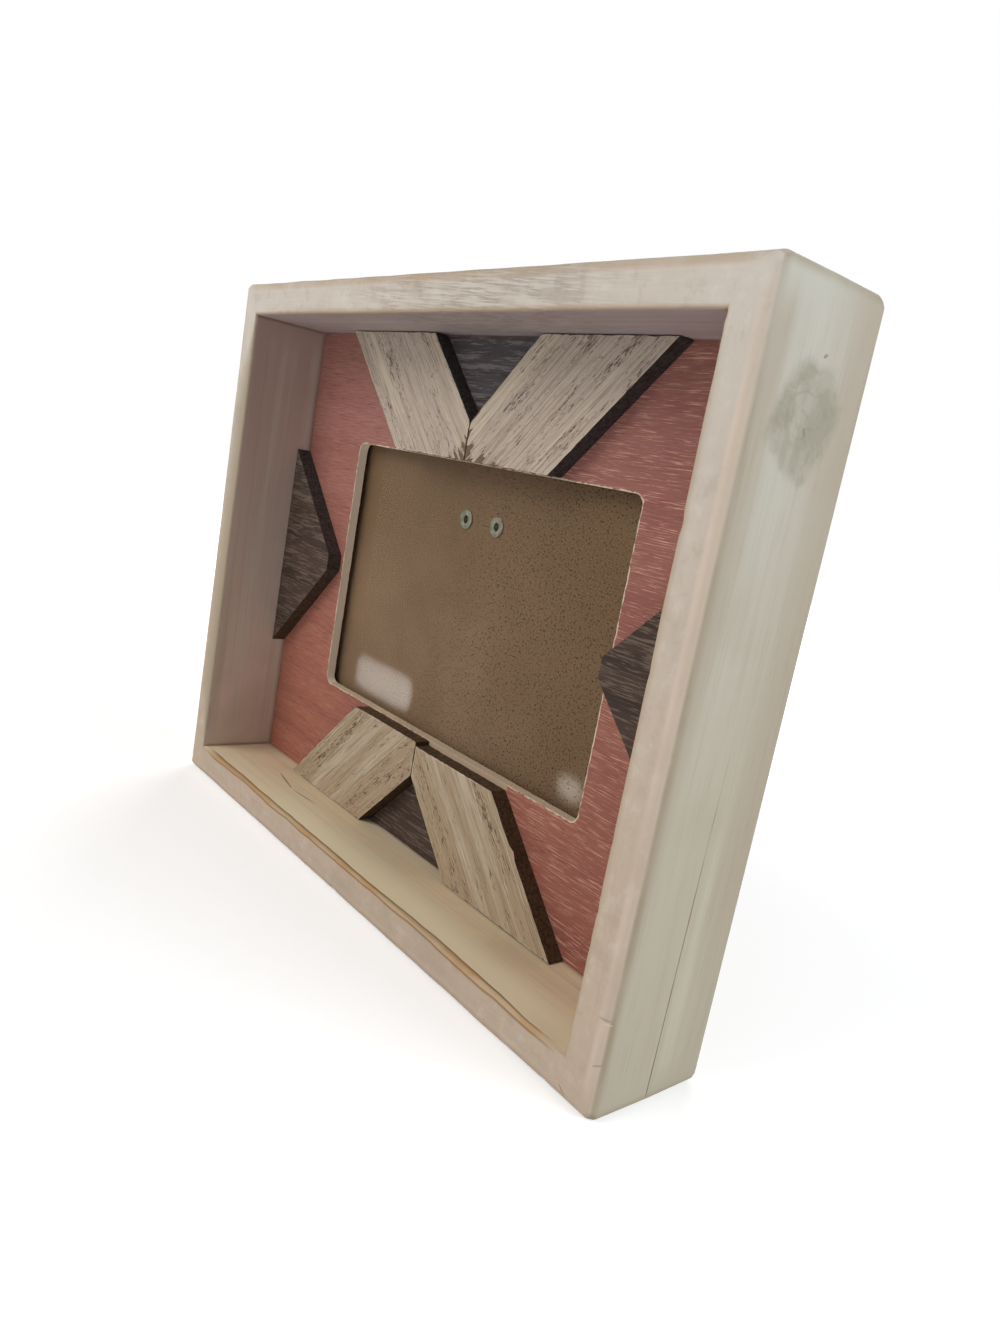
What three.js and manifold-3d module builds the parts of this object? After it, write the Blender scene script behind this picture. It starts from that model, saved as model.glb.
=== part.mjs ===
// A deep, free-standing photo frame in whitewashed wood, with a coral panel, slanted slats and dark
// triangles round the window, and an easel leg at the back.
// Millimetres. X runs to the viewer's right, Y from the front to the back, Z up. The origin is the middle
// of the flat underside, halfway between the front and the back of the rails.

import * as THREE from 'three';
import { mergeVertices } from 'three/addons/utils/BufferGeometryUtils.js';
import Module from 'manifold-3d';

const wasm = await Module();
wasm.setup();

// Outside of the frame: 9.5 by 7.5 by 1.5 inches.
const FRAME_WIDTH = 241.3;
const FRAME_HEIGHT = 190.5;
const FRAME_DEPTH = 38.1;

// Rails and stiles, mitred at the corners and rabbeted at the back.
const RAIL_WIDTH = 11.5;
const RABBET_WIDTH = 4;
const FRONT_EDGE_RADIUS = 2.4;
const BACK_EDGE_RADIUS = 1.5;
const SIGHT_EDGE_RADIUS = 1;
const CORNER_RADIUS = 2.4;
const MITRE_GAP = 0.2;

// V-nails across the mitres, driven in from the back.
const NAIL_INSET = 4;
const NAIL_LEG = 5;
const NAIL_THICKNESS = 0.5;
const NAIL_DEPTH = 10;
const NAIL_SINK = 0.4;
const NAIL_CLEARANCE = 0.15;

// Boards that lie in the rabbet, from the front to the back.
const PANEL_THICKNESS = 3.2;
const GLASS_THICKNESS = 2;
const BOARD_THICKNESS = 3;
const PRINT_ROOM = 0.15;
const STACK_GAP = 0.1;
const RABBET_CLEARANCE = 0.4;

// Window in the panel, for a 4 by 6 inch print.
const WINDOW_WIDTH = 142.5;
const WINDOW_HEIGHT = 90.5;
const WINDOW_CORNER_RADIUS = 3;

// Slats and triangles glued on the panel. Their slanted edges all run at 45 degrees.
const SLAT_WIDTH = 36;
const SLAT_THICKNESS = 5.5;
const SLAT_SEAM = 12;
const TRIANGLE_HALF_BASE = 38.5;
const TRIANGLE_HALF_TIP = 3;
const INFILL_THICKNESS = 0.8;
const GLUE_LINE = 0.1;
const FITTING_GAP = 0.3;

// Hollow rivets of the easel hinge.
const RIVET_HEIGHT = 122.6;
const RIVET_SPACING = 16;
const RIVET_BORE_RADIUS = 1.25;
const RIVET_SHANK_RADIUS = 1.9;
const RIVET_HEAD_RADIUS = 3.2;
const RIVET_ROLL_RADIUS = 2.7;
const RIVET_FLANGE = 0.4;
const RIVET_CLEARANCE = 0.05;

// Easel hinge and leg.
const LEAF_WIDTH = 26;
const LEAF_THICKNESS = 0.8;
const LEAF_MARGIN = 5;
const LEAF_CORNER_RADIUS = 2;
const RIVET_TO_PIN = 7.6;
const PIN_RADIUS = 1;
const PIN_CLEARANCE = 0.06;
const PIN_CHAMFER = 0.3;
const CENTRE_KNUCKLE = 9.6;
const KNUCKLE_GAP = 0.3;
const LEAF_GAP = 0.5;
const STOP_ANGLE = THREE.MathUtils.degToRad(26.5);
const LEG_THICKNESS = 2.3;
const LEG_GAP = 0.2;
const LEG_TOP_WIDTH = 30;
const LEG_FOOT_WIDTH = 46;
const LEG_FOOT_RADIUS = 5;
const LEG_FOOT_HEIGHT = 1.5;

// Turn buttons on the stiles, and their screws.
const BUTTON_SPACING = 94;
const BUTTON_EYE_RADIUS = 3;
const BUTTON_TIP_RADIUS = 2;
const BUTTON_REACH = 11;
const BUTTON_THICKNESS = 1;
const BUTTON_GAP = 0.1;
const SCREW_RADIUS = 1.2;
const SCREW_LENGTH = 13;
const SCREW_TIP = 2;
const SCREW_HEAD_RADIUS = 2.5;
const SCREW_HEAD_HEIGHT = 1.5;
const SCREW_SLOT_WIDTH = 0.7;
const SCREW_SLOT_DEPTH = 0.8;
const SCREW_CLEARANCE = 0.08;

// Mesh fineness, and how far a cutting shape reaches past what it cuts.
const ARC_STEPS = 4;
const ROUND_SIDES = 24;
const OVERCUT = 1;
const MERGE_DISTANCE = 1e-4;

// Places along Y, from the front face of the rails to the back of the easel hinge.
const front = -FRAME_DEPTH / 2;
const back = FRAME_DEPTH / 2;
const boardBack = back - STACK_GAP;
const boardFront = boardBack - BOARD_THICKNESS;
const glassBack = boardFront - RIVET_CLEARANCE - RIVET_FLANGE - PRINT_ROOM;
const glassFront = glassBack - GLASS_THICKNESS;
const panelBack = glassFront - STACK_GAP;
const panelFront = panelBack - PANEL_THICKNESS;
const shoulder = panelFront - STACK_GAP;
const legFront = boardBack + LEG_GAP + RIVET_FLANGE + RIVET_CLEARANCE;
const legBack = legFront + LEG_THICKNESS;
const leafBack = legBack + GLUE_LINE + LEAF_THICKNESS;
const fixedLeafFront = boardBack + GLUE_LINE;
const knuckleRadius = (leafBack - fixedLeafFront) / 2;
const pinY = fixedLeafFront + knuckleRadius;
const pinZ = RIVET_HEIGHT - RIVET_TO_PIN;

// Places in the frame's face.
const middleZ = FRAME_HEIGHT / 2;
const openingHalfWidth = FRAME_WIDTH / 2 - RAIL_WIDTH;
const boardHalfWidth = openingHalfWidth + RABBET_WIDTH - RABBET_CLEARANCE;
const boardHalfHeight = middleZ - RAIL_WIDTH + RABBET_WIDTH - RABBET_CLEARANCE;
const slatZone = middleZ - WINDOW_HEIGHT / 2 - RAIL_WIDTH;
const veeHalfWidth = slatZone - SLAT_SEAM;
const buttonInset = (RAIL_WIDTH - RABBET_WIDTH + BACK_EDGE_RADIUS) / 2;

// Materials.
function finish(color, roughness, metalness = 0) {
  return new THREE.MeshStandardMaterial({ color, roughness, metalness });
}

const whitewash = finish(0xc9bda9, 0.75);
const slatWash = finish(0xb7a893, 0.8);
const coralPaint = finish(0xa65b4d, 0.7);
const darkStain = finish(0x4b403b, 0.7);
const hardboard = finish(0x7c6449, 0.8);
const clearGlass = finish(0xdfe8e6, 0.05);
const zincSteel = finish(0x9b9a94, 0.4, 0.9);
clearGlass.transparent = true;
clearGlass.opacity = 0.25;

// Outlines, as lists of points.
function point(x, y) {
  return new THREE.Vector2(x, y);
}

function arc(centreX, centreY, radius, from, to, steps = ARC_STEPS) {
  return Array.from({ length: steps + 1 }, (_, i) => {
    const angle = from + ((to - from) * i) / steps;
    return point(centreX + radius * Math.cos(angle), centreY + radius * Math.sin(angle));
  });
}

function circle(centreX, centreY, radius) {
  return new THREE.Path(arc(centreX, centreY, radius, 0, 2 * Math.PI, ROUND_SIDES).slice(0, -1));
}

function roundedRectangle(left, bottom, right, top, radius) {
  const quarter = Math.PI / 2;
  return [
    ...arc(left + radius, bottom + radius, radius, 2 * quarter, 3 * quarter),
    ...arc(right - radius, bottom + radius, radius, 3 * quarter, 4 * quarter),
    ...arc(right - radius, top - radius, radius, 0, quarter),
    ...arc(left + radius, top - radius, radius, quarter, 2 * quarter),
  ];
}

// Solids: an outline in the frame's face made thick from front to back, a turned shape, and closed
// meshes that are joined and cut.
function plate(outline, frontY, thickness) {
  const geometry = new THREE.ExtrudeGeometry(outline, { depth: thickness, bevelEnabled: false });
  return geometry.rotateX(Math.PI / 2).translate(0, frontY + thickness, 0);
}

function turned(profile) {
  return new THREE.LatheGeometry(profile.map(([radius, y]) => point(radius, y)), ROUND_SIDES);
}

function rod(radius, length) {
  return new THREE.CylinderGeometry(radius, radius, length, ROUND_SIDES);
}

function toSolid(geometry) {
  const bare = geometry.clone();
  bare.deleteAttribute('normal');
  bare.deleteAttribute('uv');
  const merged = mergeVertices(bare, MERGE_DISTANCE);
  const mesh = new wasm.Mesh({
    numProp: 3,
    vertProperties: merged.attributes.position.array,
    triVerts: new Uint32Array(merged.index.array),
  });
  return new wasm.Manifold(mesh);
}

function toGeometry(solid) {
  const mesh = solid.getMesh();
  const geometry = new THREE.BufferGeometry();
  geometry.setAttribute('position', new THREE.BufferAttribute(mesh.vertProperties, 3));
  geometry.setIndex(new THREE.BufferAttribute(mesh.triVerts, 1));
  geometry.computeVertexNormals();
  return geometry;
}

function cut(geometry, ...tools) {
  return toGeometry(tools.reduce((solid, tool) => solid.subtract(toSolid(tool)), toSolid(geometry)));
}

function join(...geometries) {
  return toGeometry(geometries.map(toSolid).reduce((all, solid) => all.add(solid)));
}

function common(a, b) {
  return toGeometry(toSolid(a).intersect(toSolid(b)));
}

function mesh(name, geometry, material) {
  const made = new THREE.Mesh(geometry, material);
  made.name = name;
  return made;
}

// Rails, drawn as the bottom one: its length along X, its outer face at Z = 0, its inner face above.
function railProfile() {
  const wall = RAIL_WIDTH - RABBET_WIDTH;
  return new THREE.Shape([
    ...arc(front + FRONT_EDGE_RADIUS, FRONT_EDGE_RADIUS, FRONT_EDGE_RADIUS, Math.PI, 1.5 * Math.PI),
    ...arc(back - BACK_EDGE_RADIUS, BACK_EDGE_RADIUS, BACK_EDGE_RADIUS, -0.5 * Math.PI, 0),
    point(back, wall),
    point(shoulder, wall),
    point(shoulder, RAIL_WIDTH),
    ...arc(front + SIGHT_EDGE_RADIUS, RAIL_WIDTH - SIGHT_EDGE_RADIUS, SIGHT_EDGE_RADIUS, Math.PI / 2, Math.PI),
  ]);
}

function mitredOutline(length) {
  const end = length / 2;
  const inside = RAIL_WIDTH + OVERCUT;
  const shift = MITRE_GAP / Math.SQRT2;
  const skew = Math.asin(MITRE_GAP / 2 / CORNER_RADIUS);
  const corner = end - CORNER_RADIUS;
  return new THREE.Shape([
    point(inside + shift - end, inside),
    ...arc(-corner, CORNER_RADIUS, CORNER_RADIUS, 1.25 * Math.PI + skew, 1.5 * Math.PI),
    ...arc(corner, CORNER_RADIUS, CORNER_RADIUS, 1.5 * Math.PI, 1.75 * Math.PI - skew),
    point(end - inside - shift, inside),
  ]);
}

function nailSlot(length, side) {
  const slotLength = NAIL_LEG + NAIL_THICKNESS / 2 + 2 * NAIL_CLEARANCE;
  const slotDepth = NAIL_DEPTH + NAIL_SINK + NAIL_CLEARANCE + OVERCUT;
  const slotWidth = NAIL_THICKNESS + 2 * NAIL_CLEARANCE;
  const nearCorner = length / 2 - NAIL_INSET + NAIL_THICKNESS / 2 + NAIL_CLEARANCE;
  const slot = new THREE.BoxGeometry(slotLength, slotDepth, slotWidth);
  return slot.translate(side * (nearCorner - slotLength / 2), back + OVERCUT - slotDepth / 2, NAIL_INSET);
}

function pilotHole(along) {
  const depth = SCREW_LENGTH + OVERCUT;
  return rod(SCREW_RADIUS + SCREW_CLEARANCE, depth).translate(along, back + OVERCUT - depth / 2, buttonInset);
}

function rail(length, screwPlaces = []) {
  const alongX = new THREE.Matrix4().makeBasis(
    new THREE.Vector3(0, 1, 0),
    new THREE.Vector3(0, 0, 1),
    new THREE.Vector3(1, 0, 0),
  );
  const bar = new THREE.ExtrudeGeometry(railProfile(), { depth: length, bevelEnabled: false });
  bar.applyMatrix4(alongX).translate(-length / 2, 0, 0);
  const ends = plate(mitredOutline(length), front - OVERCUT, FRAME_DEPTH + 2 * OVERCUT);
  const slots = [-1, 1].map((side) => nailSlot(length, side));
  return cut(common(bar, ends), ...slots, ...screwPlaces.map(pilotHole));
}

function cornerNail() {
  const near = NAIL_INSET - NAIL_THICKNESS / 2;
  const far = NAIL_INSET + NAIL_LEG;
  const inner = NAIL_INSET + NAIL_THICKNESS / 2;
  const outline = new THREE.Shape([
    point(near, near),
    point(far, near),
    point(far, inner),
    point(inner, inner),
    point(inner, far),
    point(near, far),
  ]);
  return plate(outline, back - NAIL_SINK - NAIL_DEPTH, NAIL_DEPTH);
}

function woodenFrame() {
  const group = new THREE.Group();
  const screwPlaces = [-BUTTON_SPACING / 2, BUTTON_SPACING / 2];
  const sides = [
    ['bottom_rail', rail(FRAME_WIDTH), 0, 0, 0],
    ['right_stile', rail(FRAME_HEIGHT, screwPlaces), -1, FRAME_WIDTH / 2, middleZ],
    ['top_rail', rail(FRAME_WIDTH), 2, 0, FRAME_HEIGHT],
    ['left_stile', rail(FRAME_HEIGHT, screwPlaces), 1, -FRAME_WIDTH / 2, middleZ],
  ];
  const corners = [
    ['corner_nail_bottom_left', cornerNail(), 0, -FRAME_WIDTH / 2, 0],
    ['corner_nail_bottom_right', cornerNail(), -1, FRAME_WIDTH / 2, 0],
    ['corner_nail_top_right', cornerNail(), 2, FRAME_WIDTH / 2, FRAME_HEIGHT],
    ['corner_nail_top_left', cornerNail(), 1, -FRAME_WIDTH / 2, FRAME_HEIGHT],
  ];
  for (const [name, geometry, quarterTurns, x, z] of [...sides, ...corners]) {
    const piece = mesh(name, geometry, name.startsWith('corner') ? zincSteel : whitewash);
    piece.rotation.y = (quarterTurns * Math.PI) / 2;
    piece.position.set(x, 0, z);
    group.add(piece);
  }
  return group;
}

// Boards in the rabbet.
function boardOutline() {
  return new THREE.Shape([
    point(-boardHalfWidth, middleZ - boardHalfHeight),
    point(boardHalfWidth, middleZ - boardHalfHeight),
    point(boardHalfWidth, middleZ + boardHalfHeight),
    point(-boardHalfWidth, middleZ + boardHalfHeight),
  ]);
}

function facePanel() {
  const outline = boardOutline();
  const halfWidth = WINDOW_WIDTH / 2;
  const bottom = middleZ - WINDOW_HEIGHT / 2;
  const top = middleZ + WINDOW_HEIGHT / 2;
  const edge = roundedRectangle(-halfWidth, bottom, halfWidth, top, WINDOW_CORNER_RADIUS);
  outline.holes.push(new THREE.Path(edge));
  return plate(outline, panelFront, PANEL_THICKNESS);
}

function rivetHoles(z) {
  const radius = RIVET_SHANK_RADIUS + RIVET_CLEARANCE;
  return [-1, 1].map((side) => circle((side * RIVET_SPACING) / 2, z, radius));
}

function backBoard() {
  const outline = boardOutline();
  outline.holes.push(...rivetHoles(RIVET_HEIGHT));
  return plate(outline, boardFront, BOARD_THICKNESS);
}

function boardStack() {
  const group = new THREE.Group();
  group.add(mesh('face_panel', facePanel(), coralPaint));
  group.add(mesh('glass_pane', plate(boardOutline(), glassFront, GLASS_THICKNESS), clearGlass));
  group.add(mesh('back_board', backBoard(), hardboard));
  return group;
}

// Slats and triangles. Heights are measured from the inner face of the nearer rail: side is -1 on the left
// and 1 on the right, level is -1 at the bottom and 1 at the top.
function onPanel(points, side, level, thickness) {
  const outline = points.map(([x, rise]) => point(side * x, middleZ + level * (middleZ - RAIL_WIDTH - rise)));
  return plate(new THREE.Shape(outline), panelFront - GLUE_LINE - thickness, thickness);
}

function slat(side, level) {
  const outerHalfWidth = veeHalfWidth + SLAT_WIDTH * Math.SQRT2;
  const windowEdge = slatZone - FITTING_GAP;
  const seam = FITTING_GAP / 2;
  const points = [
    [veeHalfWidth - FITTING_GAP, FITTING_GAP],
    [outerHalfWidth - FITTING_GAP, FITTING_GAP],
    [outerHalfWidth - windowEdge, windowEdge],
    [seam, windowEdge],
    [seam, veeHalfWidth - seam],
  ];
  return onPanel(points, side, level, SLAT_THICKNESS);
}

function infill(level) {
  const reach = veeHalfWidth - FITTING_GAP * Math.SQRT2;
  const halfBase = reach - FITTING_GAP;
  return onPanel([[-halfBase, FITTING_GAP], [halfBase, FITTING_GAP], [0, reach]], 1, level, INFILL_THICKNESS);
}

function sideTriangle(side) {
  const base = side * (openingHalfWidth - FITTING_GAP);
  const tip = base - side * (TRIANGLE_HALF_BASE - TRIANGLE_HALF_TIP);
  const outline = new THREE.Shape([
    point(base, middleZ - TRIANGLE_HALF_BASE),
    point(base, middleZ + TRIANGLE_HALF_BASE),
    point(tip, middleZ + TRIANGLE_HALF_TIP),
    point(tip, middleZ - TRIANGLE_HALF_TIP),
  ]);
  return plate(outline, panelFront - GLUE_LINE - SLAT_THICKNESS, SLAT_THICKNESS);
}

function faceDecoration() {
  const group = new THREE.Group();
  for (const [levelName, level] of [['top', 1], ['bottom', -1]]) {
    group.add(mesh(`slat_${levelName}_left`, slat(-1, level), slatWash));
    group.add(mesh(`slat_${levelName}_right`, slat(1, level), slatWash));
    group.add(mesh(`infill_${levelName}`, infill(level), darkStain));
  }
  group.add(mesh('triangle_left', sideTriangle(-1), darkStain));
  group.add(mesh('triangle_right', sideTriangle(1), darkStain));
  return group;
}

// Easel hinge, drawn round its pin: both leaves lie in line while the leg is folded.
function hollowRivet(gripFront, gripBack) {
  const headBack = gripFront - RIVET_CLEARANCE;
  const rollFront = gripBack + RIVET_CLEARANCE;
  return turned([
    [RIVET_BORE_RADIUS, headBack - RIVET_FLANGE],
    [RIVET_HEAD_RADIUS, headBack - RIVET_FLANGE],
    [RIVET_HEAD_RADIUS, headBack],
    [RIVET_SHANK_RADIUS, headBack],
    [RIVET_SHANK_RADIUS, rollFront],
    [RIVET_ROLL_RADIUS, rollFront],
    [RIVET_ROLL_RADIUS, rollFront + RIVET_FLANGE],
    [RIVET_BORE_RADIUS, rollFront + RIVET_FLANGE],
    [RIVET_BORE_RADIUS, headBack - RIVET_FLANGE],
  ]);
}

function rivetPair(name, z, gripFront, gripBack) {
  const group = new THREE.Group();
  for (const [sideName, side] of [['left', -1], ['right', 1]]) {
    const rivet = mesh(`${name}_${sideName}`, hollowRivet(gripFront, gripBack), zincSteel);
    rivet.position.set((side * RIVET_SPACING) / 2, 0, z);
    group.add(rivet);
  }
  return group;
}

function knuckle(from, to) {
  return rod(knuckleRadius, to - from).rotateZ(Math.PI / 2).translate((from + to) / 2, 0, 0);
}

function pinBore() {
  return rod(PIN_RADIUS + PIN_CLEARANCE, LEAF_WIDTH + 2 * OVERCUT).rotateZ(Math.PI / 2);
}

function fixedLeaf() {
  const halfWidth = LEAF_WIDTH / 2;
  const notch = CENTRE_KNUCKLE / 2 + KNUCKLE_GAP;
  const clear = knuckleRadius + LEAF_GAP;
  const top = RIVET_TO_PIN + LEAF_MARGIN;
  const cornerX = halfWidth - LEAF_CORNER_RADIUS;
  const cornerZ = top - LEAF_CORNER_RADIUS;
  const outline = new THREE.Shape([
    point(-halfWidth, 0),
    point(-notch, 0),
    point(-notch, clear),
    point(notch, clear),
    point(notch, 0),
    point(halfWidth, 0),
    ...arc(cornerX, cornerZ, LEAF_CORNER_RADIUS, 0, Math.PI / 2),
    ...arc(-cornerX, cornerZ, LEAF_CORNER_RADIUS, Math.PI / 2, Math.PI),
  ]);
  outline.holes.push(...rivetHoles(RIVET_TO_PIN));
  const leaf = plate(outline, -knuckleRadius, LEAF_THICKNESS);
  return cut(join(leaf, knuckle(-halfWidth, -notch), knuckle(notch, halfWidth)), pinBore());
}

// A tongue on the moving leaf reaches up behind the pin and meets the fixed leaf when the leg is open.
function stopTongue() {
  const reach = knuckleRadius - LEAF_THICKNESS;
  return (reach * (1 + Math.cos(STOP_ANGLE))) / Math.sin(STOP_ANGLE);
}

function movingLeaf() {
  const halfWidth = LEAF_WIDTH / 2;
  const neck = CENTRE_KNUCKLE / 2;
  const clear = knuckleRadius + LEAF_GAP;
  const bottom = -RIVET_TO_PIN - LEAF_MARGIN;
  const tongue = stopTongue();
  const cornerX = halfWidth - LEAF_CORNER_RADIUS;
  const cornerZ = bottom + LEAF_CORNER_RADIUS;
  const outline = new THREE.Shape([
    point(neck, tongue),
    point(-neck, tongue),
    point(-neck, -clear),
    point(-halfWidth, -clear),
    ...arc(-cornerX, cornerZ, LEAF_CORNER_RADIUS, Math.PI, 1.5 * Math.PI),
    ...arc(cornerX, cornerZ, LEAF_CORNER_RADIUS, 1.5 * Math.PI, 2 * Math.PI),
    point(halfWidth, -clear),
    point(neck, -clear),
  ]);
  outline.holes.push(...rivetHoles(-RIVET_TO_PIN));
  const leaf = plate(outline, knuckleRadius - LEAF_THICKNESS, LEAF_THICKNESS);
  return cut(join(leaf, knuckle(-neck, neck)), pinBore());
}

function hingePin() {
  const end = LEAF_WIDTH / 2;
  return turned([
    [0, -end],
    [PIN_RADIUS - PIN_CHAMFER, -end],
    [PIN_RADIUS, PIN_CHAMFER - end],
    [PIN_RADIUS, end - PIN_CHAMFER],
    [PIN_RADIUS - PIN_CHAMFER, end],
    [0, end],
  ]).rotateZ(Math.PI / 2);
}

function easelLeg() {
  const top = -knuckleRadius - LEAF_GAP;
  const foot = LEG_FOOT_HEIGHT - pinZ;
  const cornerX = LEG_FOOT_WIDTH / 2 - LEG_FOOT_RADIUS;
  const cornerZ = foot + LEG_FOOT_RADIUS;
  const outline = new THREE.Shape([
    point(LEG_TOP_WIDTH / 2, top),
    point(-LEG_TOP_WIDTH / 2, top),
    ...arc(-cornerX, cornerZ, LEG_FOOT_RADIUS, Math.PI, 1.5 * Math.PI),
    ...arc(cornerX, cornerZ, LEG_FOOT_RADIUS, 1.5 * Math.PI, 2 * Math.PI),
  ]);
  outline.holes.push(...rivetHoles(-RIVET_TO_PIN));
  return plate(outline, legFront - pinY, LEG_THICKNESS);
}

function easel() {
  const hinge = new THREE.Group();
  hinge.position.set(0, pinY, pinZ);
  hinge.add(mesh('hinge_fixed_leaf', fixedLeaf(), zincSteel));
  hinge.add(mesh('hinge_pin', hingePin(), zincSteel));
  const leg = new THREE.Group();
  leg.add(mesh('hinge_moving_leaf', movingLeaf(), zincSteel));
  leg.add(mesh('easel_leg', easelLeg(), hardboard));
  leg.add(rivetPair('leg_rivet', -RIVET_TO_PIN, legFront - pinY, leafBack - pinY));
  hinge.add(leg);
  const group = new THREE.Group();
  group.add(hinge);
  group.add(rivetPair('board_rivet', RIVET_HEIGHT, boardFront, fixedLeafFront + LEAF_THICKNESS));
  return group;
}

// Turn buttons, drawn round their screw with the tongue along X.
function turnButton() {
  const tipX = BUTTON_REACH - BUTTON_TIP_RADIUS;
  const lean = Math.acos((BUTTON_EYE_RADIUS - BUTTON_TIP_RADIUS) / tipX);
  const outline = new THREE.Shape([
    ...arc(0, 0, BUTTON_EYE_RADIUS, lean, 2 * Math.PI - lean, 3 * ARC_STEPS),
    ...arc(tipX, 0, BUTTON_TIP_RADIUS, -lean, lean, 2 * ARC_STEPS),
  ]);
  outline.holes.push(circle(0, 0, SCREW_RADIUS + SCREW_CLEARANCE));
  return plate(outline, BUTTON_GAP, BUTTON_THICKNESS);
}

function buttonScrew() {
  const seat = BUTTON_GAP + BUTTON_THICKNESS + BUTTON_GAP;
  const tip = BUTTON_THICKNESS - SCREW_LENGTH;
  const top = seat + SCREW_HEAD_HEIGHT;
  const shape = turned([
    [0, tip],
    [SCREW_RADIUS, tip + SCREW_TIP],
    [SCREW_RADIUS, seat],
    [SCREW_HEAD_RADIUS, seat],
    [SCREW_HEAD_RADIUS, seat + SCREW_HEAD_HEIGHT / 3],
    [SCREW_HEAD_RADIUS * 0.75, seat + SCREW_HEAD_HEIGHT * 0.8],
    [SCREW_HEAD_RADIUS * 0.4, top],
    [0, top],
  ]);
  const slotLength = 2 * SCREW_HEAD_RADIUS * 0.6;
  const slotY = top + OVERCUT / 2 - SCREW_SLOT_DEPTH / 2;
  const slotHeight = SCREW_SLOT_DEPTH + OVERCUT;
  const slotX = new THREE.BoxGeometry(slotLength, slotHeight, SCREW_SLOT_WIDTH).translate(0, slotY, 0);
  const slotZ = new THREE.BoxGeometry(SCREW_SLOT_WIDTH, slotHeight, slotLength).translate(0, slotY, 0);
  return cut(shape, slotX, slotZ);
}

function turnButtons() {
  const group = new THREE.Group();
  const pivotX = FRAME_WIDTH / 2 - buttonInset;
  for (const [levelName, level] of [['upper', 1], ['lower', -1]]) {
    for (const [sideName, side] of [['left', -1], ['right', 1]]) {
      const pivot = new THREE.Group();
      pivot.position.set(side * pivotX, back, middleZ + (level * BUTTON_SPACING) / 2);
      pivot.rotation.y = side > 0 ? Math.PI : 0;
      pivot.add(mesh(`turn_button_${levelName}_${sideName}`, turnButton(), zincSteel));
      pivot.add(mesh(`button_screw_${levelName}_${sideName}`, buttonScrew(), zincSteel));
      group.add(pivot);
    }
  }
  return group;
}

const photoFrame = new THREE.Group();
photoFrame.name = 'photo_frame';
photoFrame.add(woodenFrame(), boardStack(), faceDecoration(), easel(), turnButtons());

export default photoFrame;
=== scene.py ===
# %% [markdown]
# # A deep photo frame in whitewashed wood
#
# The frame is a box of four mitred rails. In its recess lies a coral panel with a window, rough slats and
# dark triangles are glued round the window, and a pane and a brown board close the back. An easel leg is
# riveted to the board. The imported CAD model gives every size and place, so this lesson only makes the
# surfaces: edges that are rounded and worn, wood that has a grain, and paint that has been brushed on.

# %% The frame that everything is fitted to
import inspect
import math
import random

import bmesh
import bpy
from mathutils import Matrix, Vector, noise


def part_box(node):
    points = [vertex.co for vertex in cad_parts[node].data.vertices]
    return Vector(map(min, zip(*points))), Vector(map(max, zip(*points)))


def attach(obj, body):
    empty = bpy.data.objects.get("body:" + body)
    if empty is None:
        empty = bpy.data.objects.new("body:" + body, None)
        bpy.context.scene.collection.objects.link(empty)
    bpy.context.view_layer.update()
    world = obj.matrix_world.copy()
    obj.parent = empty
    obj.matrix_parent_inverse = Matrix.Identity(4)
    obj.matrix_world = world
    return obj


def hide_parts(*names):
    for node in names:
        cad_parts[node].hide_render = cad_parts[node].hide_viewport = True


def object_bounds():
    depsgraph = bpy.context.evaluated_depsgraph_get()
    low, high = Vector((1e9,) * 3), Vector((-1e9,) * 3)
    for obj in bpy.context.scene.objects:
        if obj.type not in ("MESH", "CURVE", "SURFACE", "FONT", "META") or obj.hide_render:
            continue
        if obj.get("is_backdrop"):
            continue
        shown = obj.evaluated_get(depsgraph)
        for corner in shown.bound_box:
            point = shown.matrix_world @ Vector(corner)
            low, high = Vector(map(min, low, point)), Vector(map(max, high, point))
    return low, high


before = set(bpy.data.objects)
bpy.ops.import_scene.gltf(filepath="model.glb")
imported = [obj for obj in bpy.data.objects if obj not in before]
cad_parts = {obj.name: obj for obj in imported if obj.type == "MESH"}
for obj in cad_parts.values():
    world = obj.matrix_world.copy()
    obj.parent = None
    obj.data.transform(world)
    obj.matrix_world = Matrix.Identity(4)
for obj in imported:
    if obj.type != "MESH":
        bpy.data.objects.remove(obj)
cad_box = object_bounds()
MM = 0.001
TINY = 0.01 * MM
MERGE = 0.001 * MM


def in_mm(box):
    """The corners of a box in millimetres, to print."""
    return [[round(value / MM, 1) for value in corner] for corner in box]


print("CAD box in mm:", in_mm(cad_box))

# %% [markdown]
# ## Camera
#
# The picture is taken from the right and a little above the middle, close to the frame and with a short
# lens, so the right side shows as a broad face and the left side looks small. A camera can be turned by
# three angles, but a place, a point to aim at and a roll are easier to read, so those three are used.

# %% Camera
PHOTO_LONG_SIDE = 1333
FOCAL_LENGTH_PX = 957.5
CAMERA_PLACE = Vector((241.7, -174.6, 140.6)) * MM
CAMERA_AIM = Vector((55.6, -13.9, 90.45)) * MM
CAMERA_ROLL = math.radians(10.44)


def aimed(place, aim, roll=0.0):
    """The matrix of a camera or a lamp at place that looks at aim."""
    turn = (aim - place).to_track_quat("-Z", "Y").to_matrix().to_4x4()
    return Matrix.Translation(place) @ turn @ Matrix.Rotation(roll, 4, "Z")


def linked(name, data):
    """A new object in the scene."""
    made = bpy.data.objects.new(name, data)
    bpy.context.scene.collection.objects.link(made)
    return made


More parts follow.
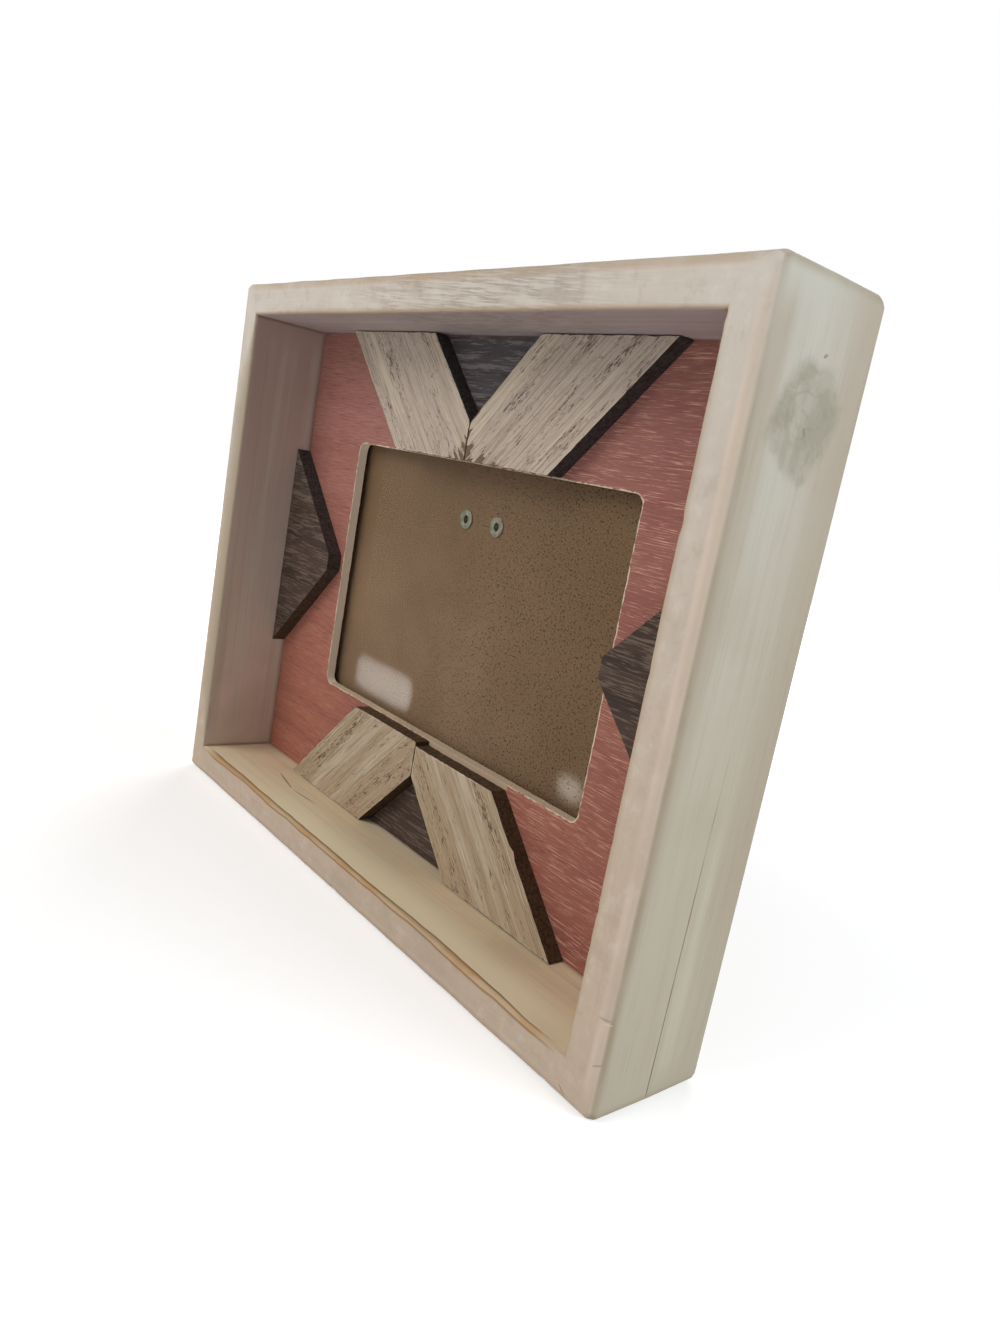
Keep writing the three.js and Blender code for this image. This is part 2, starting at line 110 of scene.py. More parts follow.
camera = linked("camera", bpy.data.cameras.new("camera"))
camera.data.lens = FOCAL_LENGTH_PX / PHOTO_LONG_SIDE * camera.data.sensor_width
camera.data.clip_start = 1 * MM
camera.matrix_world = aimed(CAMERA_PLACE, CAMERA_AIM, CAMERA_ROLL)
bpy.context.scene.camera = camera
bpy.context.scene.view_settings.view_transform = "Standard"
print("lens in mm:", round(camera.data.lens, 2))

# %% [markdown]
# ## Node helpers
#
# A shader is a tree of nodes. Adding nodes one by one takes many lines, so a few helpers make a node, set
# or link its inputs, and hand back the socket that the next node needs. A socket knows its tree, so a new
# node goes where its inputs come from. Colours are written as the 0 to 255 values of a paint chart and made
# linear. In the finishes below, noise scales are features per metre, ramps cut noise off near its mean of
# 0.5, and the last number of a layer of paint is its share.

# %% Node helpers
def srgb(red, green, blue):
    """A colour as on a paint chart, made linear."""
    shares = [value / 255 for value in (red, green, blue)]
    linear = [s / 12.92 if s <= 0.04045 else ((s + 0.055) / 1.055) ** 2.4 for s in shares]
    return (*linear, 1.0)


def node(kind, inputs, tree=None, **settings):
    """A shader node with its settings made and its inputs set or linked, in the tree of its inputs."""
    sources = [value for value in inputs.values() if isinstance(value, bpy.types.NodeSocket)]
    if tree is None:
        tree = sources[0].id_data
    made = tree.nodes.new("ShaderNode" + kind)
    for name, value in settings.items():
        setattr(made, name, value)
    for key, value in inputs.items():
        if isinstance(value, bpy.types.NodeSocket):
            tree.links.new(value, made.inputs[key])
        else:
            made.inputs[key].default_value = value
    return made


def cloud(vector, scale, detail=2.0, roughness=0.5, distortion=0.0):
    """Soft noise, about 0.5 on average."""
    inputs = {"Vector": vector, "Scale": scale, "Detail": detail, "Roughness": roughness}
    return node("TexNoise", {**inputs, "Distortion": distortion}).outputs[0]


def ramp(value, low, high, least=0.0, most=1.0):
    """A smooth step from least at low to most at high."""
    inputs = {"Value": value, "From Min": low, "From Max": high, "To Min": least, "To Max": most}
    return node("MapRange", inputs, interpolation_type="SMOOTHSTEP").outputs[0]


def ramp_mm(distance, low, high, least=0.0, most=1.0):
    """A smooth step over a distance, with its ends in millimetres."""
    return ramp(distance, low * MM, high * MM, least, most)


def maths(operation, first, second=0.0):
    return node("Math", {0: first, 1: second}, operation=operation).outputs[0]


def plus(first, second):
    return maths("ADD", first, second)


def minus(first, second):
    return maths("SUBTRACT", first, second)


def times(first, *others):
    """Masks and shares multiplied together."""
    for other in others:
        first = maths("MULTIPLY", first, other)
    return first


def vector_maths(operation, first, second):
    return node("VectorMath", {0: first, 1: second}, operation=operation).outputs[0]


def magnitude(vector):
    return node("VectorMath", {0: vector}, operation="LENGTH").outputs["Value"]


def axes(vector):
    """The X, Y and Z of a vector."""
    return node("SeparateXYZ", {0: vector}).outputs


def placed(vector, place=(0, 0, 0), rotation=(0, 0, 0)):
    """Coordinates seen from a place, with a rotation taken out."""
    inputs = {"Vector": vector, "Location": place, "Rotation": rotation}
    return node("Mapping", inputs, vector_type="TEXTURE").outputs[0]


def mixed(share, under, over):
    """One colour laid over another by a mask."""
    return node("Mix", {0: share, 6: under, 7: over}, data_type="RGBA").outputs[2]


def laid(colour, *layers):
    """Paints laid over a colour one after another, each as far as all its masks let it."""
    for paint, *masks in layers:
        colour = mixed(times(*masks), colour, paint)
    return colour


# %% [markdown]
# ## Studio
#
# A white room and soft lamps suit a product picture. The main lamp stands in front, above and to the left,
# so the underside of the top rail falls into shade. Two weak fills open the shadows, a lamp behind the right
# side lights that face, and one at the back lights the leg and the board. The white behind the frame is only
# for rays from the camera, from gloss or through glass, so it puts no extra light on the wood. The floor is
# pale and takes the shadow, and the same rays see it lifted to white. Two narrow beams put pale patches on
# the board behind the pane, where a window in the room would glint.

# %% Studio
AMBIENT = 0.04
FLOOR_SIZE = 8.0
FLOOR_LIFT = 0.45
FLOOR_COLOUR = srgb(226, 226, 228)
FADE_START = 0.25
FADE_END = 0.8
WHITE = (1, 1, 1, 1)


def seen_directly(tree):
    """1 for rays from the camera, from gloss and through glass, and 0 for the light on the object."""
    path = node("LightPath", {}, tree).outputs
    mirrored = maths("MAXIMUM", path["Is Glossy Ray"], path["Is Transmission Ray"])
    return maths("MAXIMUM", path["Is Camera Ray"], mirrored)


def make_world():
    world = bpy.data.worlds.new("white room")
    world.use_nodes = True
    tree = world.node_tree
    tree.nodes.clear()
    light = node("Background", {"Color": WHITE, "Strength": AMBIENT}, tree).outputs[0]
    backdrop = node("Background", {"Color": WHITE, "Strength": 1.0}, tree).outputs[0]
    either = node("MixShader", {0: seen_directly(tree), 1: light, 2: backdrop}).outputs[0]
    node("OutputWorld", {"Surface": either})
    bpy.context.scene.world = world


def make_floor():
    bm = bmesh.new()
    bmesh.ops.create_grid(bm, x_segments=1, y_segments=1, size=FLOOR_SIZE / 2)
    mesh = bpy.data.meshes.new("floor")
    bm.to_mesh(mesh)
    bm.free()
    paint = bpy.data.materials.new("pale floor")
    paint.use_nodes = True
    paint.cycles.emission_sampling = "NONE"
    tree = paint.node_tree
    tree.nodes.clear()
    matt = node("BsdfDiffuse", {"Color": FLOOR_COLOUR}, tree).outputs[0]
    away = magnitude(node("TexCoord", {}, tree).outputs["Object"])
    strength = times(seen_directly(tree), ramp(away, FADE_START, FADE_END, FLOOR_LIFT, 1.0))
    glow = node("Emission", {"Color": WHITE, "Strength": strength}).outputs[0]
    both = node("AddShader", {0: matt, 1: glow}).outputs[0]
    node("OutputMaterial", {"Surface": both})
    mesh.materials.append(paint)
    return linked("floor", mesh)


def make_lamp(name, place, size, watts, colour, aim):
    data = bpy.data.lights.new(name, "AREA")
    data.size = size
    data.energy = watts
    data.color = colour
    lamp = linked(name, data)
    lamp.matrix_world = aimed(Vector(place), aim)
    return lamp


MIDDLE = (cad_box[0] + cad_box[1]) / 2
# A lamp's place and size in metres, its power in watts and its colour.
LAMPS = {
    "main lamp": ((-0.30, -0.90, 0.85), 0.8, 9.3, (1.0, 0.96, 0.90)),
    "front fill": ((0.35, -1.05, 0.12), 0.5, 3.2, (0.95, 0.98, 1.0)),
    "side lamp": ((0.98, 0.36, 0.66), 0.8, 10.6, (0.95, 1.0, 0.99)),
    "left fill": ((-1.10, -0.60, 0.40), 0.8, 1.4, (0.95, 0.98, 1.0)),
    "back lamp": ((-0.75, 0.95, 0.70), 0.8, 9.0, (1.0, 0.98, 0.95)),
}
make_world()
make_floor()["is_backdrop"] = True
for name, (place, size, watts, colour) in LAMPS.items():
    make_lamp(name, place, size, watts, colour, MIDDLE)
print("floor, world and", len(LAMPS), "lamps around", [round(value / MM) for value in MIDDLE])

# %% Pale patches behind the pane
BEAM_AWAY = 80 * MM
BEAM_SPREAD = math.radians(6)
BEAM_COLOUR = (0.40, 0.62, 1.0)
# The middle of a patch, its width and height, and the lamp's power in watts.
BEAMS = {
    "left beam": (Vector((-41, 16, 58)) * MM, 33 * MM, 8 * MM, 0.0095),
    "right beam": (Vector((61, 16, 56)) * MM, 8 * MM, 4 * MM, 0.0007),
}


def make_beam(name, aim, width, height, watts):
    """A small lamp close in front of the pane that lights a soft oblong and isn't seen itself."""
    lamp = make_lamp(name, aim - Vector((0, BEAM_AWAY, 0)), width, watts, BEAM_COLOUR, aim)
    lamp.data.shape = "RECTANGLE"
    lamp.data.size_y = height
    lamp.data.spread = BEAM_SPREAD
    lamp.visible_camera = False
    lamp.visible_glossy = False


for name, (aim, width, height, watts) in BEAMS.items():
    make_beam(name, aim, width, height, watts)
print("beams:", list(BEAMS))

# %% [markdown]
# ## Shared effects
#
# Wood grain, brushed paint, ragged wear and specks turn up in several finishes. Each is a node group that
# is built once and only puts out masks and values. It is written as a function of its inputs, and the same
# name then places it in a material. Noise that is stretched along one axis gives grain and brush marks. A
# mask that is roughened by noise before it is cut off gives the uneven border of worn paint.

# %% Node groups
VECTOR_INPUTS = {"Vector", "Point", "Keep"}
BAND_SHARE = 0.16
PATCH_SHARE = 0.11
SPECK_SHARE = 0.68
BRUSH_SOFTNESS = 0.1
BORDER_SOFTNESS = 0.15


def node_group(make):
    """Builds a group from a function of its inputs, and gives a function that places it in a material."""
    tree = bpy.data.node_groups.new(make.__name__.replace("_", " "), "ShaderNodeTree")
    names = [name.title() for name in inspect.signature(make).parameters]
    for name in names:
        kind = "NodeSocketVector" if name in VECTOR_INPUTS else "NodeSocketFloat"
        tree.interface.new_socket(name, in_out="INPUT", socket_type=kind)
    given = tree.nodes.new("NodeGroupInput").outputs
    found = make(*[given[name] for name in names])
    for name in found:
        tree.interface.new_socket(name, in_out="OUTPUT", socket_type="NodeSocketFloat")
    wanted = tree.nodes.new("NodeGroupOutput").inputs
    for name, value in found.items():
        tree.links.new(value, wanted[name])

    def place_group(*values):
        outputs = node("Group", dict(enumerate(values)), node_tree=tree).outputs
        return outputs if len(found) > 1 else outputs[0]

    return place_group


def drawn_out(vector, along, across):
    """Coordinates scaled so that noise comes out long in X."""
    stretch = node("CombineXYZ", {0: along, 1: across, 2: across}, vector.id_data).outputs[0]
    return vector_maths("MULTIPLY", vector, stretch)


def broader(vector, share):
    """Coordinates for noise of the same form with broader features."""
    return node("VectorMath", {0: vector, "Scale": share}, operation="SCALE").outputs[0]


@node_group
def wood_grain(vector, along, across):
    """Fine lines along X, and broad bands that follow them."""
    fine = drawn_out(vector, along, across)
    bands = cloud(broader(fine, BAND_SHARE), 1.0, 3.0, 0.5, 0.7)
    return {"Lines": cloud(fine, 1.0, 4.0, 0.6, 0.25), "Bands": bands}


@node_group
def dry_brush(vector, along, across, cover, patchy):
    """Broken streaks along X, as a nearly dry brush leaves them. Cover is their share, Patchy groups them."""
    fine = drawn_out(vector, along, across)
    patch = minus(cloud(broader(fine, PATCH_SHARE), 1.0, 2.0, 0.5, 0.4), 0.5)
    streak = plus(cloud(fine, 1.0, 3.0, 0.65, 0.15), times(patch, patchy))
    thin = minus(1.0, cover)
    return {"Mask": ramp(streak, thin, plus(thin, BRUSH_SOFTNESS))}


@node_group
def ragged_mask(nearness, vector, scale, rough, limit):
    """A mask of what is closer than a limit, with a border broken up by noise."""
    wobble = minus(cloud(vector, scale, 4.0, 0.6), 0.5)
    return {"Mask": ramp(plus(nearness, times(wobble, rough)), limit, plus(limit, BORDER_SOFTNESS))}


@node_group
def closeness(vector, point, keep, reach):
    """1 at a point, falling to 0 at a distance of Reach. An axis with a Keep of 0 doesn't count."""
    gap = vector_maths("SUBTRACT", vector, point)
    share = maths("DIVIDE", magnitude(vector_maths("MULTIPLY", gap, keep)), reach)
    left = node("Math", {0: 1.0, 1: share}, operation="SUBTRACT", use_clamp=True)
    return {"Closeness": left.outputs[0]}


@node_group
def fibre_specks(vector, scale):
    """The mottled tone of pressed fibres, and their darker specks."""
    specks = cloud(vector, times(scale, SPECK_SHARE), 1.0)
    return {"Tone": cloud(vector, scale, 3.0, 0.7), "Specks": ramp(specks, 0.57, 0.66)}


print("node groups:", [group.name for group in bpy.data.node_groups])


# %% Material helpers
def from_rim(vector):
    """How far in mm a point is from the rim of its piece, in the material that a vector belongs to."""
    return node("Attribute", {}, vector.id_data, attribute_name="rim").outputs["Fac"]


def gloss(tone, least, most):
    """A roughness that follows a tone of about 0.5 on average."""
    return ramp(tone, 0.3, 0.7, least, most)


def new_material(name, specular=0.5, **constants):
    """A material and its Principled shader, with the shader's plain values set."""
    made = bpy.data.materials.new(name)
    made.use_nodes = True
    shader = next(n for n in made.node_tree.nodes if n.type == "BSDF_PRINCIPLED")
    shader.inputs["Specular IOR Level"].default_value = specular
    for socket, value in constants.items():
        shader.inputs[socket.replace("_", " ")].default_value = value
    return made, shader


def surfaced(name, surface, *details, **constants):
    """A material whose surface function gives its colour, roughness, height and depth of relief in mm."""
    made, shader = new_material(name, **constants)
    tree = made.node_tree
    point = node("TexCoord", {}, tree).outputs["Object"]
    colour, rough, height, depth = surface(point, *details)
    bump = node("Bump", {"Strength": 1.0, "Distance": depth * MM, "Height": height})
    for socket, value in {"Base Color": colour, "Roughness": rough, "Normal": bump.outputs[0]}.items():
        tree.links.new(value, shader.inputs[socket])
    return made


# %% [markdown]
# ## Whitewashed rails
#
# The rails are pine with a thin white wash, rubbed through at the edges after it dried. One material could
# serve all four, but the grain has to run along each rail, so each gets its own copy with its coordinates
# turned: X along the rail, Y into the depth, Z from the outer face inwards. Worn lines are then distances
# from the rail's own edges. The bottom rail is rubbed to orange wood along its inner edge, and the right
# stile has a knot on its outer face.
# Light and shade are painted into the wash as well: cooler and lighter above and warmer below, a highlight
# and a shade line on the outer edges, shade in the inner corners, and the light and shade on each inner face.

# %% Sizes of the rails
SHOULDER_GAP = 0.1 * MM
WALL_GAP = 0.4 * MM
rail_low, rail_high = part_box("bottom_rail")
panel_low, panel_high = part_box("face_panel")
FRONT = rail_low.y
BACK = rail_high.y
DEPTH = BACK - FRONT
RAIL = rail_high.z
SHOULDER = panel_low.y - SHOULDER_GAP
WALL = panel_low.z - WALL_GAP
HALF_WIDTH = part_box("right_stile")[1].x
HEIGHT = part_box("top_rail")[1].z
SEAM = 1.2 * MM
SEAM_DRIFT = 1.4 * MM
RUB_TAN = srgb(174, 152, 129)
# The left stile's front is darker over up to 14 mm from its sight edge, narrower near the mitres.
RUB_DARK = srgb(152, 137, 116)

# Where each rail lies: the place of its outer face, its turn, and half its length.
RAILS = {
    "bottom_rail": ((0, 0, 0), 0.0, HALF_WIDTH),
    "right_stile": ((HALF_WIDTH, 0, HEIGHT / 2), -math.pi / 2, HEIGHT / 2),
    "top_rail": ((0, 0, HEIGHT), math.pi, HALF_WIDTH),
    "left_stile": ((-HALF_WIDTH, 0, HEIGHT / 2), math.pi / 2, HEIGHT / 2),
}
# How far in mm the band on its sight edge reaches and its colour, how much of its outer edge is worn pale
# with a painted highlight, how rough its grain is, and the painted light and shade of its inner face low
# and high: a lit ledge, a shaded underside on the top rail and shade high on the left stile.
RAIL_WEAR = {
    "bottom_rail": (1.5, RUB_TAN, 0.25, 0.1, srgb(220, 200, 169), srgb(220, 200, 169)),
    "right_stile": (2.6, RUB_TAN, 0.75, 0.1, srgb(196, 176, 160), srgb(180, 160, 150)),
    "top_rail": (2.2, RUB_TAN, 0.1, 1.0, srgb(178, 164, 164), srgb(180, 166, 167)),
    "left_stile": (14.0, RUB_DARK, 0.1, 0.15, srgb(216, 195, 182), srgb(172, 149, 140)),
}
print("rail in mm:", round(DEPTH / MM, 1), "deep,", round(RAIL / MM, 1), "wide")


# %% Places on a rail
@node_group
def rail_faces(vector, half):
    """Masks of a rail's outer and inner faces, and distances from its edges, mitre, ends and seam."""
    parts = axes(vector)
    depth = minus(parts["Y"], FRONT)
    outward = minus(RAIL, parts["Z"])
    past_outer = minus(depth, parts["Z"])
    past_inner = minus(depth, outward)
    from_end = minus(half, maths("ABSOLUTE", parts["X"]))
    drift = times(maths("DIVIDE", parts["X"], half), SEAM_DRIFT)
    return {
        "Outer": times(ramp_mm(past_outer, -0.3, 1.0), ramp_mm(parts["Z"], 4.5, 3.5)),
        "Inner": times(ramp_mm(past_inner, -0.3, 0.8), ramp_mm(outward, 4.5, 3.5)),
        "Depth": depth,
        "Inward": parts["Z"],
        "Past Edge": past_outer,
        "Past Sight": past_inner,
        "From Mitre": maths("ABSOLUTE", minus(from_end, parts["Z"])),
        "From End": from_end,
        "From Seam": maths("ABSOLUTE", minus(minus(parts["Y"], SEAM), drift)),
    }


print("sockets of the group:", len(bpy.data.node_groups["rail faces"].interface.items_tree))

# %% Colours of the wash
# The top and bottom colours paint light into the wash: cooler and lighter above, warmer and darker below, on
# the front and on the outer faces.
WASH_HIGH = srgb(199, 191, 182)
WASH_LOW = srgb(191, 172, 154)
SIDE_HIGH = srgb(191, 187, 178)
SIDE_LOW = srgb(182, 173, 155)
WASH_PALE = srgb(213, 209, 198)
WASH_DEEP = srgb(166, 151, 134)
WASH_RUBBED = srgb(212, 194, 178)
WASH_OLIVE = srgb(150, 136, 112)
WASH_LINE = srgb(136, 119, 102)
LEDGE_PALE = srgb(243, 232, 200)
BARE_WOOD = srgb(183, 144, 97)
BARE_CREAM = srgb(190, 165, 132)
BARE_LINE = srgb(138, 103, 68)
GRIME = srgb(92, 74, 60)
CRACK = srgb(134, 112, 86)
KNOT_GREY = srgb(153, 147, 132)
KNOT_DARK = srgb(136, 128, 111)
print("wash in linear values:", [round(value, 2) for value in WASH_HIGH[:3]])

# %% Marks of use
KNOT_PLACE = Vector((HALF_WIDTH, -0.5 * MM, 161 * MM))
KNOT_KEEP = (1, 1, 0.95)
KNOT_REACH = 13.5 * MM
KNOT_SWIRL = (0, 11 * MM, 11 * MM)
MARK_KEEP = 0.2
# Scratches, cracks, and the painted shade and highlight of a nick: colour, place in mm, rotation in
# degrees, and length and width in mm.
MARKS = {
    "right_stile": [
        # the nick: a dash of painted shade in its groove and a short painted highlight on its edge
        (WASH_DEEP, (118.7, -19.0, 25.7), (0, -3, 0), 5.0, 0.8),
        (WASH_RUBBED, (119.4, -18.9, 24.8), (0, -12, 0), 3.6, 0.7),
        (WASH_DEEP, (119.2, -18.8, 14.5), (0, -29, 0), 3.4, 0.6),
        (KNOT_DARK, (120.65, 0.0, 158.7), (0, -120, 90), 2.8, 1.1),
        (KNOT_DARK, (120.65, 1.3, 174.4), (0, -30, 90), 2.0, 0.9),
    ],
    "bottom_rail": [
        (WASH_LINE, (110.7, -19.0, 2.7), (0, 38, 0), 3.8, 0.45),
        (CRACK, (-67, -3.4, 11.5), (90, 0, -11), 19, 0.9),
        (CRACK, (-50.7, -4.3, 11.5), (90, 0, 6), 18, 0.7),
    ],
}


def mark(point, place, rotation, length, width):
    """A mask that is long and pointed, with a broken border."""
    seen = placed(point, Vector(place) * MM, [math.radians(angle) for angle in rotation])
    inside = closeness(seen, (0, 0, 0), (width / length, MARK_KEEP, 1), width / 2 * MM)
    return ragged_mask(inside, point, 900.0, 0.4, 0.1)


def knot(point, colour):
    """A soft grey smudge on the right side, where a knot shows through the wash."""
    swirl = node("TexNoise", {"Vector": point, "Scale": 95.0, "Detail": 4.0}).outputs["Color"]
    shift = vector_maths("SUBTRACT", swirl, (0.5, 0.5, 0.5))
    bent = vector_maths("ADD", point, vector_maths("MULTIPLY", shift, KNOT_SWIRL))
    reach = closeness(bent, KNOT_PLACE, KNOT_KEEP, KNOT_REACH)
    mottle = ramp(cloud(point, 100.0, 3.0, 0.55, 0.8), 0.34, 0.62, 0.5, 1.0)
    curls = ramp(cloud(bent, 120.0, 3.0, 0.55, 2.6), 0.5, 0.62)
    return laid(
        colour,
        (KNOT_GREY, ramp(reach, 0.0, 0.32), mottle, 0.9),
        (KNOT_DARK, ramp(reach, 0.05, 0.45), curls, 0.3),
    )


print("marks:", {rail: len(marks) for rail, marks in MARKS.items()})


# %% Tone of the wash
def wash_tone(point, local, at, inner_low, inner_high):
    """The colour of the wash with painted light, cooler above and warmer below, and the fibres in it."""
    height = axes(point)["Z"]
    level = ramp(height, 0.2 * HEIGHT, HEIGHT)
    grain = wood_grain(local, 9.0, 330.0)
    fibres = wood_grain(local, 32.0, 1500.0)["Lines"]
    patches = cloud(point, 24.0, 3.0, 0.55)
    scuffs = cloud(point, 220.0, 4.0, 0.65)
    rearward = times(ramp(at["Depth"], 0.3 * DEPTH, DEPTH), ramp_mm(height, 15, 65, 0.4, 1.0))
    sides = maths("MAXIMUM", at["Outer"], at["Inner"])
    front = minus(1.0, sides)
    shown = times(ramp_mm(at["From Mitre"], 1, 14), ramp(sides, 0.0, 1.0, 0.35, 1.0))
    # painted light: the front and the outer faces are cooler and lighter above and warmer below
    colour = laid(
        mixed(level, WASH_LOW, WASH_HIGH),
        (mixed(level, SIDE_LOW, SIDE_HIGH), at["Outer"]),
        (WASH_DEEP, at["Outer"], rearward, 0.75),
        # painted light and shade of each inner face: a lit ledge, shade under the top rail and high on the
        # left stile
        (mixed(level, inner_low, inner_high), at["Inner"]),
        (WASH_DEEP, ramp(grain["Bands"], 0.5, 0.72), shown, 0.7),
        (WASH_PALE, ramp(grain["Bands"], 0.48, 0.25), shown, 0.5),
        (WASH_DEEP, ramp(grain["Lines"], 0.5, 0.75), shown, 0.4),
        (WASH_LINE, ramp(fibres, 0.52, 0.8), shown, 0.3),
        (WASH_PALE, ramp(scuffs, 0.52, 0.68), front, 0.25),
        (WASH_DEEP, ramp(scuffs, 0.48, 0.32), front, 0.3),
        (WASH_DEEP, ramp(patches, 0.5, 0.75), 0.3),
    )
    return colour, fibres


# %% Worn edges of a rail, with painted highlight and shade
def outer_edge(point, local, at, rubbed, colour):
    """Worn pale front edge with painted highlight, painted olive shade line at the side, fainter above."""
    faint = ramp(axes(point)["Z"], 0.2 * HEIGHT, 0.9 * HEIGHT, 0.7, 0.35)
    wander = ramp(cloud(local, 45.0, 3.0), 0.3, 0.65, 0.35, 1.0)
    in_front = times(minus(1.0, at["Outer"]), ramp_mm(at["From Mitre"], 0, 9))
    edge = ramp_mm(at["Inward"], 4.5, 3.5)
    rise = ramp_mm(at["Past Edge"], -0.5, 0.5)
    fall = ramp_mm(at["Past Edge"], 3.4, 1.0)
    return laid(
        colour,
        # worn wash with a painted highlight: the pale band along the front of the outer edge
        (WASH_RUBBED, ramp_mm(at["Inward"], 4.6, 2.8), in_front, wander, rubbed),
        (RUB_TAN, ramp_mm(at["Inward"], 3.6, 1.8), in_front, wander, 0.75 * (1 - rubbed)),
        # painted shade: the olive line where the front rounds over to the side
        (WASH_OLIVE, rise, fall, edge, wander, faint),
        (WASH_OLIVE, ramp_mm(at["From End"], 3.2, 0.8), at["Outer"], wander, 0.6),
    )


def bare_stripe(local, at, colour):
    """Orange wood between dark lines over the sight edge, lower to the right; painted light on the ledge."""
    along = axes(local)["X"]
    drift = cloud(drawn_out(local, 34.0, 0.0), 1.0, 3.0)
    swell = cloud(drawn_out(local, 24.0, 0.0), 1.0, 2.0)
    tone = cloud(drawn_out(local, 48.0, 150.0), 1.0, 3.0)
    sinking = ramp_mm(along, 60, 105, 0.55 * MM, -0.6 * MM)
    middle = plus(ramp(drift, 0.3, 0.7, -0.5 * MM, 0.2 * MM), sinking)
    half_width = ramp(swell, 0.35, 0.65, 1.2 * MM, 1.7 * MM)
    beyond = minus(maths("ABSOLUTE", minus(at["Past Sight"], middle)), half_width)
    inside = ramp_mm(beyond, 0.15, -0.25)
    line = times(ramp_mm(beyond, -0.8, -0.2), ramp_mm(beyond, 0.35, 0))
    fill = mixed(ramp(tone, 0.42, 0.6), BARE_CREAM, BARE_WOOD)
    inner_half = ramp_mm(at["Inward"], 2, 4)
    short_of_corner = ramp(at["From End"], RAIL, RAIL + 14 * MM)
    short_of_ends = times(ramp_mm(along, -75, -30, 0.7, 1.0), ramp_mm(along, 85, 108, 1.0, 0.5))
    return laid(
        colour,
        # painted light on the front of the ledge, where the light from above falls
        (LEDGE_PALE, at["Inner"], ramp_mm(at["Depth"], 18, 4), short_of_ends, 0.9),
        (fill, inside, inner_half, short_of_corner, 0.85),
        (BARE_LINE, line, inner_half, short_of_corner, 0.8),
    )


def inner_edge(at, reach, rub, colour):
    """The sight edge, rubbed tan, most in the middle of the rail, and painted shade in its corners."""
    start = ramp_mm(at["From Mitre"], 0, 45, -1.5 * MM, -reach * MM)
    rise = ramp(at["Past Sight"], start, 0.0)
    fall = ramp_mm(at["Past Sight"], 1.2, 0.2)
    against_panel = ramp(at["Depth"], SHOULDER - FRONT - 1.8 * MM, SHOULDER - FRONT)
    grime = maths("MAXIMUM", against_panel, ramp_mm(at["From Mitre"], 1.3, 0.2))
    return laid(
        colour,
        (rub, rise, fall, ramp_mm(at["Inward"], 2, 4), 0.9),
        # painted shade in the inner corners: against the panel and at the mitres
        (GRIME, grime, at["Inner"], 0.45),
    )


# %% Whitewash material
def rough_grain(point, local):
    """Low wavy strokes of raised grain on the right two thirds of a rail's length."""
    slanted = placed(local, rotation=(0, math.radians(4), 0))
    strokes = ramp(wood_grain(slanted, 90.0, 1700.0)["Lines"], 0.44, 0.58)
    broken = ramp(cloud(point, 130.0, 3.0), 0.3, 0.6, 0.5, 1.0)
    sideways = axes(point)["X"]
    starts = ramp_mm(sideways, -50, -5, 0.1, 1.0)
    ends = ramp_mm(sideways, 92, 45, 0.05, 1.0)
    return times(strokes, broken, starts, ends)


def whitewash(point, rail):
    place, turn, half = RAILS[rail]
    reach, rub, rubbed, rough, inner_low, inner_high = RAIL_WEAR[rail]
    local = placed(point, place, (0, turn, 0))
    at = rail_faces(local, half)
    colour, fibres = wash_tone(point, local, at, inner_low, inner_high)
    strokes = times(rough_grain(point, local), rough)
    colour = laid(colour, (WASH_LINE, strokes, 0.5))
    colour = outer_edge(point, local, at, rubbed, colour)
    colour = inner_edge(at, reach, rub, colour)
    if rail == "bottom_rail":
        colour = bare_stripe(local, at, colour)
    open_end = ramp(axes(local)["X"], 0.1 * half, -0.5 * half, 0.1, 1.0)
    seam = ramp_mm(at["From Seam"], 0.4, 0.1)
    filled = ramp(cloud(local, 55.0), 0.38, 0.62, 0.2, 1.0)
    colour = laid(colour, (WASH_LINE, seam, at["Outer"], open_end, filled, 0.6))
    if rail == "right_stile":
        colour = knot(point, colour)
    for paint, *shape in MARKS.get(rail, []):
        colour = laid(colour, (paint, mark(point, *shape), 0.8))
    return colour, gloss(fibres, 0.58, 0.75), minus(times(fibres, 0.6), strokes), 0.08


WHITEWASH = {rail: surfaced("whitewash " + rail, whitewash, rail, specular=0.2) for rail in RAILS}
print("whitewash materials:", len(WHITEWASH))

# %% [markdown]
# ## Mesh helpers
#
# A piece is shaped as a bmesh, then turned into an object that rides on its CAD body and stands for its CAD
# node. Flat plates start from the CAD solid itself: a copy of it has its loose corners merged and its flat
# triangles joined, which leaves the clean outline that the operators need. Normals weighted by area keep a
# flat face flat beside a rounded edge.

# %% Mesh helpers
SHARP_ANGLE = math.radians(38)
FLAT_ANGLE = math.radians(0.5)


def from_cad(name):
    """A copy of a CAD solid with shared corners and whole flat faces."""
    bm = bmesh.new()
    bm.from_mesh(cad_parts[name].data)
    bmesh.ops.remove_doubles(bm, verts=bm.verts, dist=MERGE)
    bmesh.ops.dissolve_limit(bm, angle_limit=FLAT_ANGLE, verts=bm.verts, edges=bm.edges)
    return bm


def rounded(bm, parts, radius, segments, affect="EDGES"):
    """Rounds these edges, or the corners at these vertices."""
    shape = {"offset_type": "OFFSET", "segments": segments, "profile": 0.5, "material": -1}
    bmesh.ops.bevel(bm, geom=parts, offset=radius, affect=affect, clamp_overlap=True, **shape)


def sharp_edges(bm):
    return [edge for edge in bm.edges if edge.is_manifold and edge.calc_face_angle() > SHARP_ANGLE]


